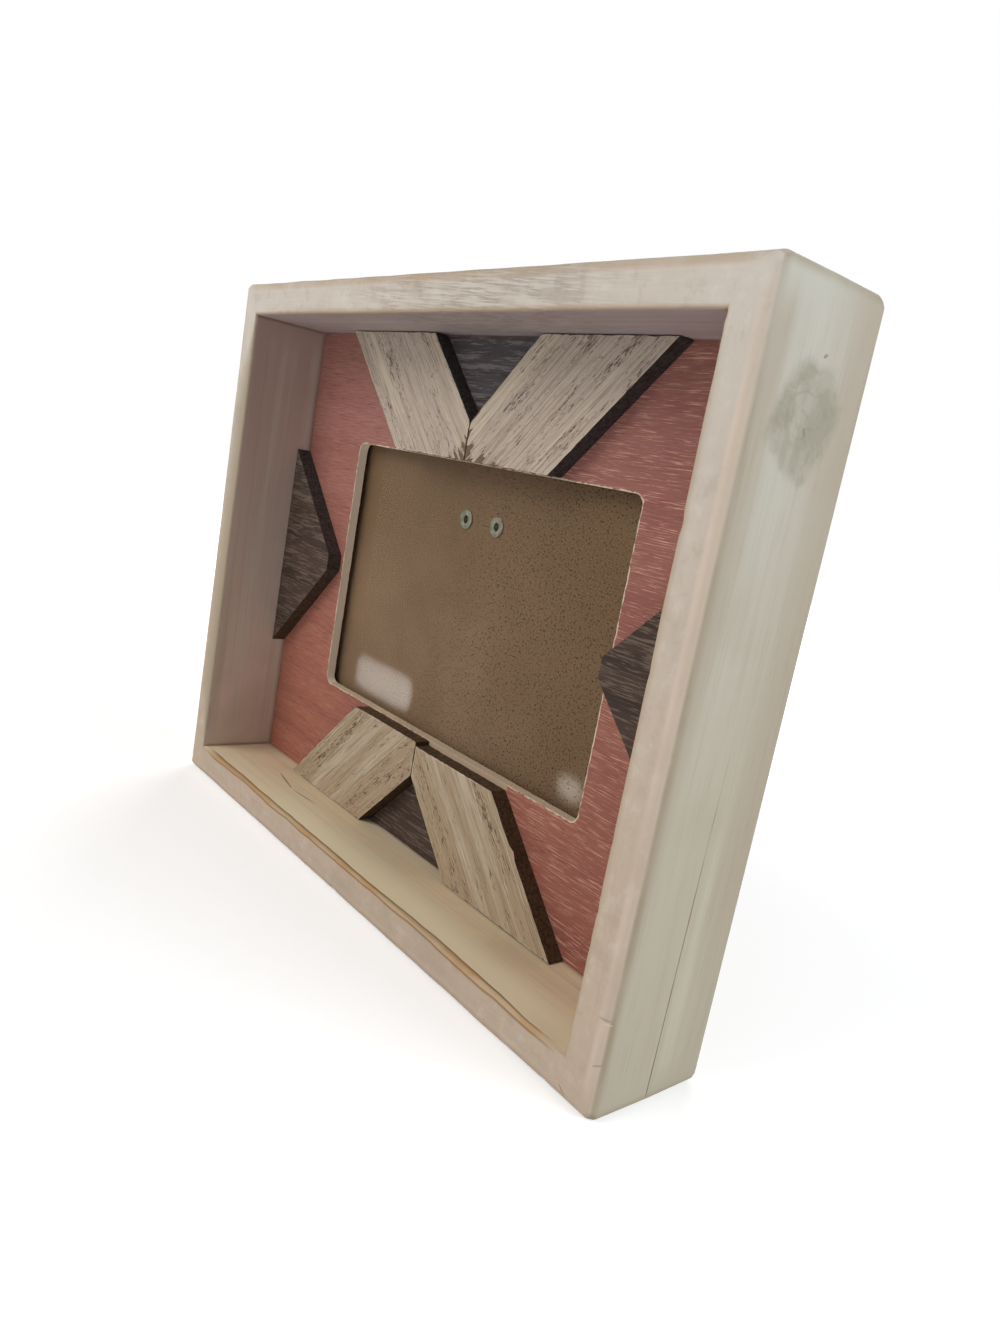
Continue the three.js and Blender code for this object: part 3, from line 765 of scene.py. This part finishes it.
def extruded(bm, faces, offset):
    """Draws faces out to a closed solid."""
    drawn = bmesh.ops.extrude_face_region(bm, geom=faces)["geom"]
    moved = [part for part in drawn if isinstance(part, bmesh.types.BMVert)]
    bmesh.ops.translate(bm, vec=offset, verts=moved)
    bmesh.ops.recalc_face_normals(bm, faces=bm.faces)


def cut_across(bm, point, normal, **settings):
    """Adds a line of edges where a plane meets the mesh, and gives what it added."""
    everything = bm.verts[:] + bm.edges[:] + bm.faces[:]
    plane = {"plane_co": point, "plane_no": normal, **settings}
    return bmesh.ops.bisect_plane(bm, geom=everything, dist=MERGE, **plane)["geom_cut"]


def split_finish(bm):
    """Gives the faces to the front the first material, and all others the second."""
    for face in bm.faces:
        face.material_index = 0 if face.normal.y < -0.5 else 1


def finished(bm, name, body, slot, *materials):
    """The object for a CAD node, riding on a body with the materials it is given; slot is not used."""
    mesh = bpy.data.meshes.new(name + "_finished")
    bm.to_mesh(mesh)
    bm.free()
    for material in materials:
        mesh.materials.append(material)
    mesh.shade_smooth()
    mesh.set_sharp_from_angle(angle=SHARP_ANGLE)
    piece = linked(name + "_finished", mesh)
    even = piece.modifiers.new("even shading", "WEIGHTED_NORMAL")
    even.keep_sharp = True
    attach(piece, body)
    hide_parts(name)
    return piece


# %% [markdown]
# ## Rails and stiles
#
# A rail is a straight moulding with a rabbet and mitred ends. It could be swept along a square path, but
# four separate bars are what the maker glues up. Each starts as six corners, is drawn out to its length and
# gets its long edges rounded. Cuts along the bar let the worn edges wander, and a cut beside each round
# keeps the flat faces flat. The ends are then drawn in to the mitre, and the outer corners are rubbed
# round. A glue seam runs along the outer face, because the moulding is made of two strips.

# %% Shape of a rail
FRONT_ROUND = 2.4 * MM
BACK_ROUND = 1.5 * MM
SIGHT_ROUND = 1.0 * MM
CORNER_ROUND = 1.8 * MM
CORNER_WEAR = 3.7 * MM
MITRE_GAP = 0.004 * MM
ROUND_STEPS = 6
LENGTH_CUTS = 260
FLAT_MARGIN = 0.4 * MM
SEAM_HALF_WIDTH = 0.18 * MM
SEAM_CUTS = (-2, -1, 0, 1, 2)


def long_edges(bm, y, z):
    """The edges that run along the bar at this place of its section."""
    here = {vertex for vertex in bm.verts if math.hypot(vertex.co.y - y, vertex.co.z - z) < TINY}
    return [edge for edge in bm.edges if here.issuperset(edge.verts)]


def straight_bar(length):
    """A bar with rounded long edges, drawn as the bottom rail: outer face at z = 0, inner face above."""
    bm = bmesh.new()
    section = [(FRONT, 0), (BACK, 0), (BACK, WALL), (SHOULDER, WALL), (SHOULDER, RAIL), (FRONT, RAIL)]
    end = bm.faces.new([bm.verts.new((-length / 2, y, z)) for y, z in section])
    extruded(bm, [end], (length, 0, 0))
    for y, z, radius in ((FRONT, 0, FRONT_ROUND), (BACK, 0, BACK_ROUND), (FRONT, RAIL, SIGHT_ROUND)):
        rounded(bm, long_edges(bm, y, z), radius, ROUND_STEPS)
    for step in SEAM_CUTS:
        cut_across(bm, (0, SEAM + step * SEAM_HALF_WIDTH, 0), (0, 1, 0))
    for y in (FRONT + SIGHT_ROUND, FRONT + FRONT_ROUND, BACK - BACK_ROUND):
        cut_across(bm, (0, y - math.copysign(FLAT_MARGIN, y), 0), (0, 1, 0))
    for z in (BACK_ROUND + FLAT_MARGIN, FRONT_ROUND + FLAT_MARGIN, RAIL - SIGHT_ROUND - FLAT_MARGIN):
        cut_across(bm, (0, 0, z), (0, 0, 1))
    lengthwise = [edge for edge in bm.edges if abs(edge.verts[0].co.x - edge.verts[1].co.x) > length / 2]
    bmesh.ops.subdivide_edges(bm, edges=lengthwise, cuts=LENGTH_CUTS, use_grid_fill=True)
    return bm


def round_corner(along, depth, inward):
    """Distances from an end, a face and the outer side, moved off a worn outer corner."""
    u = CORNER_ROUND - along
    v = CORNER_ROUND - inward
    reach = math.hypot(u, v)
    if u > 0 and v > 0 and reach > CORNER_ROUND:
        along = CORNER_ROUND - u * CORNER_ROUND / reach
        inward = CORNER_ROUND - v * CORNER_ROUND / reach
    rub = max(0.0, CORNER_WEAR - along - depth - inward) / 3
    return along + rub, depth + rub, inward + rub


def mitred(co, half):
    """A point of the bar, with the ends cut to the mitre and the corners worn."""
    spread = half * math.sin(math.pi / 2 * co.x / half)
    end = spread * (half - co.z - MITRE_GAP) / half
    side = math.copysign(1, end)
    at_back = co.y > 0
    depth = BACK - co.y if at_back else co.y - FRONT
    along, depth, inward = round_corner(half - abs(end), depth, co.z)
    return Vector((side * (half - along), BACK - depth if at_back else FRONT + depth, inward))


print("shoulder and wall in mm:", round(SHOULDER / MM, 1), round(WALL / MM, 1))

# %% Wear on a rail
SEAM_DEPTH = 0.26 * MM
SEAM_CLOSED = 0.15
EDGE_WOBBLE = 0.22 * MM
WOBBLE_PER_METRE = 70
WOBBLE_BETWEEN_RAILS = 40
OUTER_WANDER = 1.5 * FRONT_ROUND
SIGHT_WANDER = 2.5 * SIGHT_ROUND
MITRE_FADE = 12 * MM
DENTS_PER_RAIL = 16
DENT_SPAN = 0.92
DENT_EDGES = (0.5 * MM, RAIL - 0.3 * MM)
DENT_RADIUS = (1.2 * MM, 2.4 * MM)
DENT_DEPTH = (0.05 * MM, 0.2 * MM)
NICK_PLACE = Vector((118.7 * MM, FRONT, 24.6 * MM))
NICK_RADIUS = 2.8 * MM
NICK_DEPTH = 0.4 * MM


def wear(co, half, dents):
    """Opens the seam, lets the front edges wander and presses in the dents."""
    if abs(co.z) < TINY and abs(co.y - SEAM) < 3 * SEAM_HALF_WIDTH:
        open_end = min(1.0, max(0.0, -co.x / half))
        if abs(co.y - SEAM) < TINY:
            co.z += SEAM_DEPTH * (SEAM_CLOSED + (1 - SEAM_CLOSED) * open_end)
        co.y += SEAM_DRIFT * co.x / half
    if co.y < FRONT + FRONT_ROUND:
        fade = min(1.0, max(0.0, half - abs(co.x) - co.z) / MITRE_FADE)
        outer = max(0.0, 1 - co.z / OUTER_WANDER)
        sight = max(0.0, 1 - (RAIL - co.z) / SIGHT_WANDER)
        place = Vector((co.x * WOBBLE_PER_METRE, half * WOBBLE_BETWEEN_RAILS, outer))
        shift = EDGE_WOBBLE * (0.5 + 0.5 * noise.noise(place)) * fade
        co += Vector((0, outer + sight, outer - sight)) * shift
    for place, radius, depth in dents:
        share = max(0.0, 1 - ((co - place).length / radius) ** 2)
        co += Vector((0, 1, 1 if place.z < RAIL / 2 else -1)) * depth * share * share
    return co


def random_dents(name, half):
    """Small knocks along the front edges, as (place, radius, depth)."""
    draw = random.Random(name)
    dents = []
    for _ in range(DENTS_PER_RAIL):
        along = draw.uniform(-DENT_SPAN, DENT_SPAN) * half
        edge = draw.choice(DENT_EDGES)
        radius = draw.uniform(*DENT_RADIUS)
        depth = draw.uniform(*DENT_DEPTH)
        dents.append((Vector((along, FRONT, edge)), radius, depth))
    return dents


def make_rail(name):
    place, turn, half = RAILS[name]
    bm = straight_bar(2 * half)
    placing = Matrix.Translation(place) @ Matrix.Rotation(turn, 4, "Y")
    dents = random_dents(name, half)
    if name == "right_stile":
        dents.append((placing.inverted() @ NICK_PLACE, NICK_RADIUS, NICK_DEPTH))
    for vertex in bm.verts:
        vertex.co = wear(mitred(vertex.co, half), half, dents)
    bmesh.ops.transform(bm, matrix=placing, verts=bm.verts)
    return finished(bm, name, "frame", "whitewashed_wood", WHITEWASH[name])


for name in RAILS:
    print(name, "faces:", len(make_rail(name).data.polygons))

# %% [markdown]
# ## Coral panel
#
# The panel is a thin board painted coral, then brushed with a nearly dry pale brush from side to side. The
# paint is chipped along the window, and bare board shows on the window's wall and in a strip above the lower
# right slat. The window is the shape that matters, so the mesh starts there: a rounded outline with a
# slightly uneven edge. The board is filled in round it, and the whole is drawn out to its thickness.
# Shade is painted into the coral too, darker under the top rail and towards the right stile, and light is
# painted on the window's left wall.

# %% Coral paint
# The top colour of the coral is painted shade from the top rail: darker and cooler.
CORAL_HIGH = srgb(148, 102, 94)
CORAL_LOW = srgb(158, 99, 82)
CORAL_DEEP = srgb(124, 74, 66)
CORAL_STREAK = srgb(196, 147, 128)
CHIP_PALE = srgb(204, 186, 164)
BOARD_TAN = srgb(208, 190, 168)
BOARD_DEEP = srgb(184, 163, 140)
BOARD_PALE = srgb(240, 224, 206)


def coral_paint(point):
    grain = wood_grain(point, 34.0, 520.0)
    hairs = wood_grain(point, 110.0, 2400.0)["Lines"]
    parts = axes(point)
    brush = dry_brush(point, 130.0, 3600.0, 0.46, 0.25)
    streaks = times(brush, ramp_mm(parts["X"], -100, 60, 0.25, 0.85))
    chips = ragged_mask(ramp(from_rim(point), 1.2, 0.0), point, 420.0, 1.4, 0.8)
    strip_width = times(ramp_mm(parts["X"], -1.5, -0.5), ramp_mm(parts["X"], 41.5, 40.5))
    strip_height = times(ramp_mm(parts["Z"], 45, 45.5), ramp_mm(parts["Z"], 51, 50.5))
    # painted shade: darker and cooler towards the top, under the top rail
    colour = laid(
        mixed(ramp_mm(parts["Z"], 20, 170), CORAL_LOW, CORAL_HIGH),
        (CORAL_DEEP, ramp(grain["Bands"], 0.45, 0.75), 0.6),
        (CORAL_DEEP, ramp(hairs, 0.46, 0.7), 0.75),
        # painted shade towards the right stile
        (CORAL_DEEP, ramp_mm(parts["X"], 20, 105), 0.6),
        (CORAL_STREAK, streaks),
        (CHIP_PALE, chips),
        (BOARD_DEEP, strip_width, strip_height, 0.85),
    )
    return colour, gloss(hairs, 0.5, 0.7), plus(streaks, hairs), 0.04


def raw_board(point):
    tone = fibre_specks(point, 1500.0)["Tone"]
    # painted light on the window's left wall
    at_left = ramp_mm(axes(point)["X"], -66, -71)
    colour = mixed(ramp(tone, 0.35, 0.65), BOARD_TAN, BOARD_DEEP)
    return laid(colour, (BOARD_PALE, at_left, 0.9)), gloss(tone, 0.75, 0.9), tone, 0.05


CORAL_PAINT = surfaced("coral paint", coral_paint, specular=0.2)
RAW_BOARD = surfaced("raw board", raw_board, specular=0.15)
print("panel materials:", CORAL_PAINT.name, "and", RAW_BOARD.name)

# %% Panel
WINDOW_LOW = Vector((-71.25, 0, 50.0)) * MM
WINDOW_HIGH = Vector((71.25, 0, 140.5)) * MM
WINDOW_ROUND = 3.0 * MM
CORNER_STEPS = 8
RIM_STEP = 1.3 * MM
RIM_WOBBLE = 0.16 * MM
WOBBLES_PER_METRE = (420, 1300)
RIM_ROUND = 0.3 * MM


def rectangle(bm, low, high):
    corners = [(low.x, low.z), (high.x, low.z), (high.x, high.z), (low.x, high.z)]
    return [bm.verts.new((x, panel_low.y, z)) for x, z in corners]


def make_panel():
    bm = bmesh.new()
    rim = bm.verts.layers.float.new("rim")
    window = bm.faces.new(rectangle(bm, WINDOW_LOW, WINDOW_HIGH))
    rounded(bm, window.verts[:], WINDOW_ROUND, CORNER_STEPS, "VERTICES")
    for edge in bm.edges[:]:
        cuts = int(edge.calc_length() / RIM_STEP)
        if cuts:
            bmesh.ops.subdivide_edges(bm, edges=[edge], cuts=cuts)
    bmesh.ops.delete(bm, geom=bm.faces[:], context="FACES_ONLY")
    opening = set(bm.verts)
    border = bm.edges[:]
    for vertex in opening:
        wobble = sum(noise.noise(vertex.co * scale) for scale in WOBBLES_PER_METRE)
        away = Vector((vertex.co.x - MIDDLE.x, 0, vertex.co.z - MIDDLE.z)).normalized()
        vertex.co += away * RIM_WOBBLE * wobble
    board = rectangle(bm, panel_low, panel_high)
    for vertex in board:
        vertex[rim] = (panel_high.x - WINDOW_HIGH.x) / MM
    sides = [bm.edges.new((board[i - 1], board[i])) for i in range(4)]
    bmesh.ops.triangle_fill(bm, edges=border + sides, use_beauty=True)
    extruded(bm, bm.faces[:], (0, panel_high.y - panel_low.y, 0))
    arris = [edge for edge in bm.edges if opening.issuperset(edge.verts)]
    rounded(bm, arris, RIM_ROUND, 2)
    split_finish(bm)
    return finished(bm, "face_panel", "frame", "coral_paint", CORAL_PAINT, RAW_BOARD)


print("panel faces:", len(make_panel().data.polygons))

# %% [markdown]
# ## Slats and triangles
#
# The slats are cut from thin fibreboard by a hot cutter, so their sides are scorched dark brown, and their
# faces carry a rough wash with a grain along each slat, short dark pits and chips along the edges. A flat
# plate with a picture of wood would look printed, so the face is cut into narrow strips along the grain and
# the strips are raised and sunk by noise. The same way makes the dark triangles, with their grain level.

# %% Finishes of the slats and triangles
SLAT_HIGH = srgb(177, 163, 151)
SLAT_LOW = srgb(168, 147, 122)
SLAT_PALE = srgb(198, 184, 164)
SLAT_LINE = srgb(116, 95, 78)
SLAT_PIT = srgb(74, 55, 44)
SLAT_BARE = srgb(106, 88, 71)
SCORCHED = srgb(90, 70, 50)
STAIN_HIGH = srgb(76, 71, 73)
STAIN_LOW = srgb(68, 54, 47)
STAIN_DEEP = srgb(45, 35, 31)
STAIN_STREAK = srgb(124, 117, 115)
STAIN_STREAK_LOW = srgb(112, 96, 86)
RISING = math.radians(45)
VEE_FOOT = Vector((3.0 * MM, 0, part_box("slat_top_left")[0].z))
VEE_REACH = 16 * MM
CHIP_REACH = 0.4
SPLINTER_REACH = 9.0


def rim_chips(local, across, reach):
    """Chips along the edge of a piece that run in along the grain, as far as a reach in mm."""
    spikes = ramp(wood_grain(local, 60.0, across)["Lines"], 0.46, 0.74)
    return ramp(minus(times(spikes, reach), from_rim(local)), -0.05, 0.12)


def slat_wash(point, turn):
    local = placed(point, rotation=(0, -turn, 0))
    height = axes(point)["Z"]
    grain = wood_grain(local, 22.0, 620.0)
    lines = wood_grain(local, 55.0, 2300.0)["Lines"]
    streaks = dry_brush(local, 60.0, 1300.0, 0.46, 0.5)
    crowd = plus(ramp(grain["Bands"], 0.36, 0.64, 0.33, 0.44), ramp_mm(height, 158, 182, 0.0, 0.05))
    pits = dry_brush(local, 430.0, 2500.0, crowd, 0.5)
    foot = closeness(point, VEE_FOOT, (1, 0, 1), VEE_REACH)
    splinters = rim_chips(local, 430.0, plus(times(foot, SPLINTER_REACH), CHIP_REACH))
    worn = ramp(cloud(local, 160.0, 3.0), 0.42, 0.6)
    # painted light: the wash is lighter and cooler towards the top and warmer below
    colour = laid(
        mixed(ramp_mm(height, 40, 150), SLAT_LOW, SLAT_HIGH),
        (SLAT_PALE, ramp(grain["Bands"], 0.5, 0.3), 0.6),
        (SLAT_LINE, ramp(grain["Lines"], 0.5, 0.75), 0.4),
        (SLAT_LINE, ramp(lines, 0.46, 0.66), 0.5),
        (SLAT_PALE, streaks, 0.5),
        (SLAT_PIT, pits, 0.85),
        (SLAT_PALE, ramp(from_rim(local), 0.55, 0.2), worn, 0.8),
        (SLAT_BARE, splinters),
    )
    return colour, gloss(lines, 0.65, 0.85), minus(streaks, plus(pits, splinters)), 0.1


def dark_stain(point):
    grain = wood_grain(point, 40.0, 800.0)
    streaks = dry_brush(point, 120.0, 1900.0, 0.5, 0.35)
    level = ramp_mm(axes(point)["Z"], 110, 165)
    colour = laid(
        mixed(level, STAIN_LOW, STAIN_HIGH),
        (STAIN_DEEP, ramp(grain["Bands"], 0.4, 0.7), 0.8),
        (mixed(level, STAIN_STREAK_LOW, STAIN_STREAK), streaks, 0.75),
        (SLAT_LINE, rim_chips(point, 1100.0, CHIP_REACH), 0.35),
    )
    return colour, gloss(grain["Lines"], 0.6, 0.8), streaks, 0.08


def scorched_side(point):
    tone = fibre_specks(point, 900.0)["Tone"]
    # painted light: the sides are warmer below and greyer and cooler towards the top
    colour = mixed(ramp_mm(axes(point)["Z"], 45, 130), SCORCHED, STAIN_HIGH)
    return laid(colour, (STAIN_DEEP, ramp(tone, 0.3, 0.7), 0.8)), gloss(tone, 0.6, 0.8), tone, 0.06


# The slot, the turn of the grain and the finish of a plate.
SLAT_UP = ("slat_whitewash", RISING, surfaced("slat wash rising", slat_wash, RISING, specular=0.15))
SLAT_DOWN = ("slat_whitewash", -RISING, surfaced("slat wash falling", slat_wash, -RISING, specular=0.15))
STAINED = ("dark_stain", 0.0, surfaced("dark stain", dark_stain, specular=0.15))
SCORCHED_SIDE = surfaced("scorched side", scorched_side, specular=0.1)
print("materials so far:", len(bpy.data.materials))

# %% Shape of a rough plate
STRIP_WIDTH = 0.9 * MM
STRIP_LENGTH = 2.4 * MM
RELIEF = 0.14 * MM
GRAIN_ALONG = 60
GRAIN_ACROSS = 800
EDGE_LOSS = 0.3 * MM
BITES_PER_METRE = 450
RIM_LIMIT = 6.0
BURR_PLACE = Vector((55.0, 4.5, 34.8)) * MM
BURR_REACH = 2.4 * MM
BURR_HEIGHT = 1.3 * MM
SHORT_CUT = 1.4 * MM


def strips(bm, direction, step):
    """Cuts the plate by planes across a direction."""
    reach = [vertex.co.dot(direction) for vertex in bm.verts]
    count = int((max(reach) - min(reach)) / step)
    for i in range(1, count):
        cut_across(bm, direction * (min(reach) + i * step), direction)


def shorten(bm, cut):
    """Takes a strip off the top of a plate."""
    top = max(vertex.co.z for vertex in bm.verts)
    made = cut_across(bm, (0, 0, top - cut), (0, 0, 1), clear_outer=True)
    bmesh.ops.edgeloop_fill(bm, edges=[part for part in made if isinstance(part, bmesh.types.BMEdge)])
    bmesh.ops.recalc_face_normals(bm, faces=bm.faces)


def outline_planes(bm):
    """The sides of the plate, each as a point and its outward direction."""
    sides = [face for face in bm.faces if abs(face.normal.y) < 0.5]
    return [(face.verts[0].co.copy(), face.normal.copy()) for face in sides]


def roughen(bm, planes, along, across):
    """Sinks the face by a grain, eats into its edges unevenly, and leaves a burr on one edge."""
    front = min(vertex.co.y for vertex in bm.verts)
    rim = bm.verts.layers.float.new("rim")
    for vertex in bm.verts:
        gaps = [(point - vertex.co).dot(outward) for point, outward in planes]
        vertex[rim] = min(RIM_LIMIT, min(gaps) / MM)
        burr = BURR_HEIGHT * max(0.0, 1 - (vertex.co - BURR_PLACE).length / BURR_REACH)
        place = Vector((vertex.co.dot(along) * GRAIN_ALONG, vertex.co.dot(across) * GRAIN_ACROSS, 0))
        if vertex.co.y < front + TINY:
            vertex.co.y += RELIEF * (0.5 + 0.5 * noise.noise(place))
        for gap, (point, outward) in zip(gaps, planes):
            if gap < TINY:
                place = Vector((vertex.co.x, 0, vertex.co.z)) * BITES_PER_METRE
                bite = 0.5 + 0.5 * noise.noise(place)
                vertex.co += outward * (burr - EDGE_LOSS * bite * bite)


def make_plate(name, slot, turn, finish):
    bm = from_cad(name)
    if name == "slat_bottom_right":
        shorten(bm, SHORT_CUT)
    along = Vector((math.cos(turn), 0, math.sin(turn)))
    across = Vector((-math.sin(turn), 0, math.cos(turn)))
    planes = outline_planes(bm)
    strips(bm, across, STRIP_WIDTH)
    strips(bm, along, STRIP_LENGTH)
    roughen(bm, planes, along, across)
    bm.normal_update()
    split_finish(bm)
    return finished(bm, name, "frame", slot, finish, SCORCHED_SIDE)


PLATES = {
    "slat_top_left": SLAT_DOWN,
    "slat_top_right": SLAT_UP,
    "slat_bottom_left": SLAT_UP,
    "slat_bottom_right": SLAT_DOWN,
    "triangle_left": STAINED,
    "triangle_right": STAINED,
    "infill_top": STAINED,
    "infill_bottom": STAINED,
}
for name, plate in PLATES.items():
    print(name, "faces:", len(make_plate(name, *plate).data.polygons))

# %% [markdown]
# ## Glass, back board and leg
#
# The pane is plain float glass. A path tracer has trouble finding a lamp through two refracting faces, so
# rays towards the lamps, and rays that bounced inside the frame, pass straight through. The board and the
# leg are pressed fibre: brown, mottled, with dark specks that are denser towards the right.
# A shadow of the top rail is painted on the board and the leg, darker towards the top.

# %% Glass and hardboard
HARDBOARD = srgb(150, 119, 95)
HARDBOARD_DEEP = srgb(120, 92, 67)
HARDBOARD_SPECK = srgb(62, 44, 31)
PANE_TINT = srgb(248, 250, 249)
PANE_ARRIS = 0.25 * MM
BOARD_ARRIS = 0.35 * MM


def clear_glass():
    made, shader = new_material("clear glass", Transmission_Weight=1.0, Roughness=0.02, IOR=1.06)
    tree = made.node_tree
    rays = node("LightPath", {}, tree).outputs
    bounced = maths("MAXIMUM", rays["Is Diffuse Ray"], rays["Is Glossy Ray"])
    path = maths("MAXIMUM", rays["Is Shadow Ray"], bounced)
    through = node("BsdfTransparent", {"Color": PANE_TINT}, tree).outputs[0]
    either = node("MixShader", {0: path, 1: shader.outputs[0], 2: through}).outputs[0]
    ending = next(n for n in tree.nodes if n.type == "OUTPUT_MATERIAL")
    tree.links.new(either, ending.inputs["Surface"])
    return made


def hardboard(point):
    fibres = fibre_specks(point, 2200.0)
    mottle = cloud(point, 35.0)
    parts = axes(point)
    colour = laid(
        mixed(ramp(mottle, 0.3, 0.7, 0.1, 0.5), HARDBOARD, HARDBOARD_DEEP),
        (HARDBOARD_DEEP, ramp_mm(parts["X"], 5, 60), 0.8),
        # painted shadow of the top rail: darker towards the top
        (HARDBOARD_DEEP, ramp_mm(parts["Z"], 85, 125), 0.65),
        (HARDBOARD_SPECK, fibres["Specks"], ramp_mm(parts["X"], -60, 20, 0.15, 1.0), 0.8),
    )
    return colour, gloss(fibres["Tone"], 0.6, 0.8), fibres["Tone"], 0.003


def softened(name, radius, body, slot, material):
    """A CAD solid with its sharp edges eased."""
    bm = from_cad(name)
    rounded(bm, sharp_edges(bm), radius, 2)
    return finished(bm, name, body, slot, material)


HARDBOARD_FINISH = surfaced("hardboard", hardboard, specular=0.2)
softened("glass_pane", PANE_ARRIS, "frame", "clear_glass", clear_glass())
softened("back_board", BOARD_ARRIS, "frame", "hardboard", HARDBOARD_FINISH)
softened("easel_leg", BOARD_ARRIS, "easel", "hardboard", HARDBOARD_FINISH)
print("glass, board and leg are in place")

# %% [markdown]
# ## Rivets, hinge, buttons and screws
#
# The hardware is zinc-plated steel. Stamped leaves and turn buttons keep their CAD outline with eased
# edges. A hollow rivet is turned work: its section is spun round its axis, and its rims are rounded so
# that the head rolls over into the bore.

# %% Zinc
ZINC = srgb(134, 128, 114)
ZINC_DULL = srgb(106, 99, 86)


def zinc_steel(point):
    clouds = cloud(point, 700.0, 4.0, 0.6)
    return mixed(ramp(clouds, 0.35, 0.65), ZINC, ZINC_DULL), gloss(clouds, 0.3, 0.55), clouds, 0.02


ZINC_STEEL = surfaced("zinc steel", zinc_steel, Metallic=0.85)
print("all materials:", len(bpy.data.materials))

# %% Rivets
RIVET_BORE = 1.25 * MM
RIVET_SHANK = 1.9 * MM
RIVET_HEAD = 3.2 * MM
RIVET_ROLL = 2.7 * MM
RIVET_FLANGE = 0.4 * MM
RIVET_ROUND = 0.45 * RIVET_FLANGE
RIVET_SIDES = 40


def make_rivet(name, body):
    low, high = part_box(name)
    axis = Vector(((low.x + high.x) / 2, 0, (low.z + high.z) / 2))
    head = low.y + RIVET_FLANGE
    roll = high.y - RIVET_FLANGE
    section = [
        (RIVET_BORE, low.y), (RIVET_HEAD, low.y), (RIVET_HEAD, head), (RIVET_SHANK, head),
        (RIVET_SHANK, roll), (RIVET_ROLL, roll), (RIVET_ROLL, high.y), (RIVET_BORE, high.y),
    ]
    bm = bmesh.new()
    ring = [bm.verts.new(axis + Vector((radius, y, 0))) for radius, y in section]
    edges = [bm.edges.new((ring[i - 1], ring[i])) for i in range(len(ring))]
    turn = {"cent": axis, "axis": (0, 1, 0), "angle": 2 * math.pi, "steps": RIVET_SIDES, "use_merge": True}
    bmesh.ops.spin(bm, geom=ring + edges, **turn)
    bmesh.ops.remove_doubles(bm, verts=bm.verts, dist=MERGE)
    bmesh.ops.recalc_face_normals(bm, faces=bm.faces)
    rounded(bm, sharp_edges(bm), RIVET_ROUND, 3)
    return finished(bm, name, body, "zinc_steel", ZINC_STEEL)


for place, body in {"board": "frame", "leg": "easel"}.items():
    for side in ("left", "right"):
        rivet = make_rivet(f"{place}_rivet_{side}", body)
        print(rivet.name, "faces:", len(rivet.data.polygons))

# %% Hinge, buttons, screws and nails
HARDWARE_ARRIS = 0.12 * MM
BUTTON_ARRIS = 0.3 * MM
NAIL_ARRIS = 0.06 * MM


def steel(name, radius, body):
    return softened(name, radius, body, "zinc_steel", ZINC_STEEL)


steel("hinge_fixed_leaf", HARDWARE_ARRIS, "frame")
steel("hinge_moving_leaf", HARDWARE_ARRIS, "easel")
steel("hinge_pin", HARDWARE_ARRIS, "frame")
for level in ("upper", "lower"):
    for side in ("left", "right"):
        steel(f"turn_button_{level}_{side}", BUTTON_ARRIS, f"button_{level}_{side}")
        steel(f"button_screw_{level}_{side}", HARDWARE_ARRIS, "frame")
for level in ("top", "bottom"):
    for side in ("left", "right"):
        steel(f"corner_nail_{level}_{side}", NAIL_ARRIS, "frame")

# %% Sizes for comparison, and the end
visual_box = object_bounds()
print("visual box in mm:", in_mm(visual_box))
